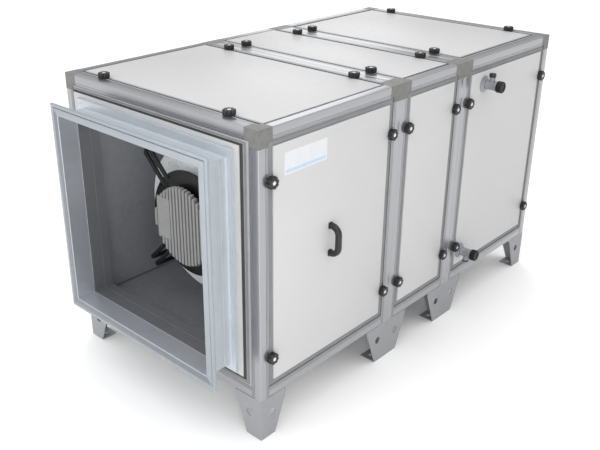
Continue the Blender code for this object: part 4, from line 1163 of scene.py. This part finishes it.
def fitting(name, y, z, up):
    """Pipe, rosette, tee body with a branch, ring nuts."""
    bm = new()
    # pipe through the panel
    add_lathe(bm, [(0.0140, HX + 0.010), (0.0168, HX + 0.010), (0.0168, W2 + 0.012), (0.0140, W2 + 0.012)], "x", (y, z), 40)
    # rosette: shallow cone on the panel
    add_lathe(bm, [(0.0170, W2 + 0.0004), (0.0352, W2 + 0.0004), (0.0354, W2 + 0.0014), (0.0346, W2 + 0.0026), (0.0300, W2 + 0.0036), (0.0225, W2 + 0.0085), (0.0212, W2 + 0.0105), (0.0170, W2 + 0.0108)],
              "x", (y, z), 56)
    # tee body
    add_lathe(bm, [(0.0135, W2 + 0.0100), (0.0196, W2 + 0.0100), (0.0204, W2 + 0.0112), (0.0204, W2 + 0.0185), (0.0196, W2 + 0.0200), (0.0190, W2 + 0.0215),
                   (0.0190, W2 + 0.0500), (0.0196, W2 + 0.0515), (0.0204, W2 + 0.0530), (0.0204, W2 + 0.0615), (0.0198, W2 + 0.0628), (0.0135, W2 + 0.0628)],
              "x", (y, z), 48)
    s = 1 if up else -1
    c = (W2 + 0.0355, y)
    pr = [(0.0, z + s * 0.006), (0.0112, z + s * 0.006), (0.0112, z + s * 0.0285), (0.0120, z + s * 0.0300), (0.0120, z + s * 0.0345), (0.0114, z + s * 0.0355), (0.0, z + s * 0.0355)]
    add_lathe(bm, pr, "z", c, 36, closed=False)
    piece(f"{name}_tee", bm, FITTING, "coil_cassette", smooth=35)
    # branch cap: knurled
    bm = new()
    n = 72
    tall = 0.0150 if up else 0.0060
    z0 = z + s * 0.0356
    rings = []
    for r, h in ((0.0118, 0.0), (0.0136, 0.0008), (0.0140, 0.0020), (0.0140, tall - 0.0022), (0.0134, tall - 0.0006), (0.0110, tall)):
        ring = []
        for i in range(n):
            a = 2 * math.pi * i / n
            rr = r - (0.0005 * (0.5 + 0.5 * math.cos(18 * a)) if 0.0135 < r else 0)
            ring.append(bm.verts.new((c[0] + rr * math.cos(a), c[1] + rr * math.sin(a), z0 + s * h)))
        rings.append(ring)
    for one, two in zip(rings, rings[1:]):
        quads(bm, one, two)
    cap(bm, rings[0])
    cap(bm, rings[-1])
    piece(f"{name}_branch_plug", bm, BLACK, "coil_cassette", smooth=40)


fitting("upper_pipe", *HI, True)
fitting("lower_pipe", *LO_P, False)

for label, (y, z) in (("upper", HI), ("lower", LO_P)):
    bm = new()
    n = 120

    def cring(r, x, flute):
        ring = []
        for i in range(n):
            a = 2 * math.pi * i / n
            rr = r - flute * (0.5 - 0.5 * math.cos(12 * a)) ** 1.5
            ring.append(bm.verts.new((x, y + rr * math.cos(a), z + rr * math.sin(a))))
        return ring

    x0, x1 = W2 + 0.0634, W2 + 0.0879
    rings = [cring(0.0215, x0, 0.0), cring(0.0238, x0 + 0.0004, 0.0006), cring(0.0244, x0 + 0.0016, 0.0012), cring(0.0244, x1 - 0.0042, 0.0015),
             cring(0.0238, x1 - 0.0022, 0.0012), cring(0.0226, x1 - 0.0008, 0.0006), cring(0.0212, x1 - 0.0002, 0.0), cring(0.0150, x1, 0.0),
             cring(0.0144, x1 - 0.0004, 0.0), cring(0.0138, x1 - 0.0022, 0.0)]
    for one, two in zip(rings, rings[1:]):
        quads(bm, one, two)
    cap(bm, rings[0])
    cap(bm, rings[-1])
    piece(f"{label}_pipe_cap_shell", bm, CAPBLACK, f"{label}_cap", [f"{label}_pipe_cap"], smooth=38)

# ------------------------------------------------------------------ kept CAD nodes
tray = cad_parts["drip_tray"]
tray.data.materials.clear()
tray.data.materials.append(GALV)

# ------------------------------------------------------------------ floor, light, camera
bm = new()
S = 60.0
ring = [bm.verts.new((x, y, 0.0)) for x, y in ((-S, -S), (S, -S), (S, S), (-S, S))]
bm.faces.new(ring)
me = bpy.data.meshes.new("studio_floor")
bm.to_mesh(me)
bm.free()
floor = bpy.data.objects.new("studio_floor", me)
floor.location = (0, 0, GROUND - 0.0004)
bpy.context.scene.collection.objects.link(floor)
fm = Mat("studio_floor", (0.95, 0.95, 0.95, 1), 0.95, spec=0.0)
fm.tint(fm.noise(0.8, detail=2), 0.995, 1.005)
me.materials.append(fm.mat)
floor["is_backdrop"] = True

world = bpy.data.worlds.new("studio")
world.use_nodes = True
bg = world.node_tree.nodes["Background"]
wt = world.node_tree
wc = wt.nodes.new("ShaderNodeTexCoord")
ws = wt.nodes.new("ShaderNodeSeparateXYZ")
wt.links.new(wc.outputs["Generated"], ws.inputs["Vector"])
wr = wt.nodes.new("ShaderNodeValToRGB")
stops = ((0.0, 0.42), (0.28, 0.44), (0.50, 0.90), (0.75, 1.50), (1.0, 1.70))
wr.color_ramp.elements[0].position, wr.color_ramp.elements[1].position = stops[0][0], stops[-1][0]
for pos, _ in stops[1:-1]:
    wr.color_ramp.elements.new(pos)
for el, (pos, val) in zip(wr.color_ramp.elements, stops):
    el.color = (val, val, val, 1)
wt.links.new(ws.outputs["Z"], wr.inputs["Fac"])
wt.links.new(wr.outputs["Color"], bg.inputs["Color"])
bg.inputs["Strength"].default_value = 1.0
bpy.context.scene.world = world


def area(name, at, look, size, power, colour=(1, 1, 1)):
    light = bpy.data.lights.new(name, "AREA")
    light.shape = "RECTANGLE"
    light.size, light.size_y = size
    light.energy = power
    light.color = colour
    ob = bpy.data.objects.new(name, light)
    ob.location = at
    ob.rotation_euler = (Vector(look) - Vector(at)).to_track_quat("-Z", "Y").to_euler()
    bpy.context.scene.collection.objects.link(ob)
    return ob


centre = Vector((0.0, 0.0, 0.65))
area("key_side", (2.5, -2.9, 1.3), Vector((0.5, -0.8, 0.45)), (1.8, 1.8), 34)
area("front_soft", (-0.9, -4.6, 1.6), Vector((0.0, 0.0, 0.5)), (3.0, 2.6), 34)
back = area("back_softbox", (-13.0, 15.2, 9.6), Vector((0.0, 0.0, 0.9)), (5.0, 13.5), 300)
back.visible_camera = False
inner = area("inside_fill", (OFF.x, OFF.y + 0.090, OFF.z + 0.930), Vector((OFF.x, OFF.y + 0.30, OFF.z + 0.30)), (0.80, 0.06), 1.0)
inner.visible_camera = False

cam_data = bpy.data.cameras.new("camera")
cam_data.sensor_width = 36.0
cam_data.lens = 806.504 * 36.0 / 600.0
cam_data.shift_x = (300 - 276.454) / 600
cam_data.shift_y = (208.325 - 225) / 600
cam_data.clip_start, cam_data.clip_end = 0.05, 200.0
cam = bpy.data.objects.new("camera", cam_data)
cam.location = Vector((2.1348, -1.6412, 1.7715)) + OFF
cam.rotation_euler = (math.radians(90 - 23.976), 0.0, math.radians(43.269))
bpy.context.scene.collection.objects.link(cam)
bpy.context.scene.camera = cam

vs = bpy.context.scene.view_settings
vs.view_transform = "Standard"
vs.look = "None"
vs.exposure = 0.0
vs.gamma = 1.0

VIS_BOX = [list(v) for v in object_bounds()]
{"cad": [[float(x) for x in v] for v in CAD_BOX], "visual": [[float(x) for x in v] for v in VIS_BOX]}
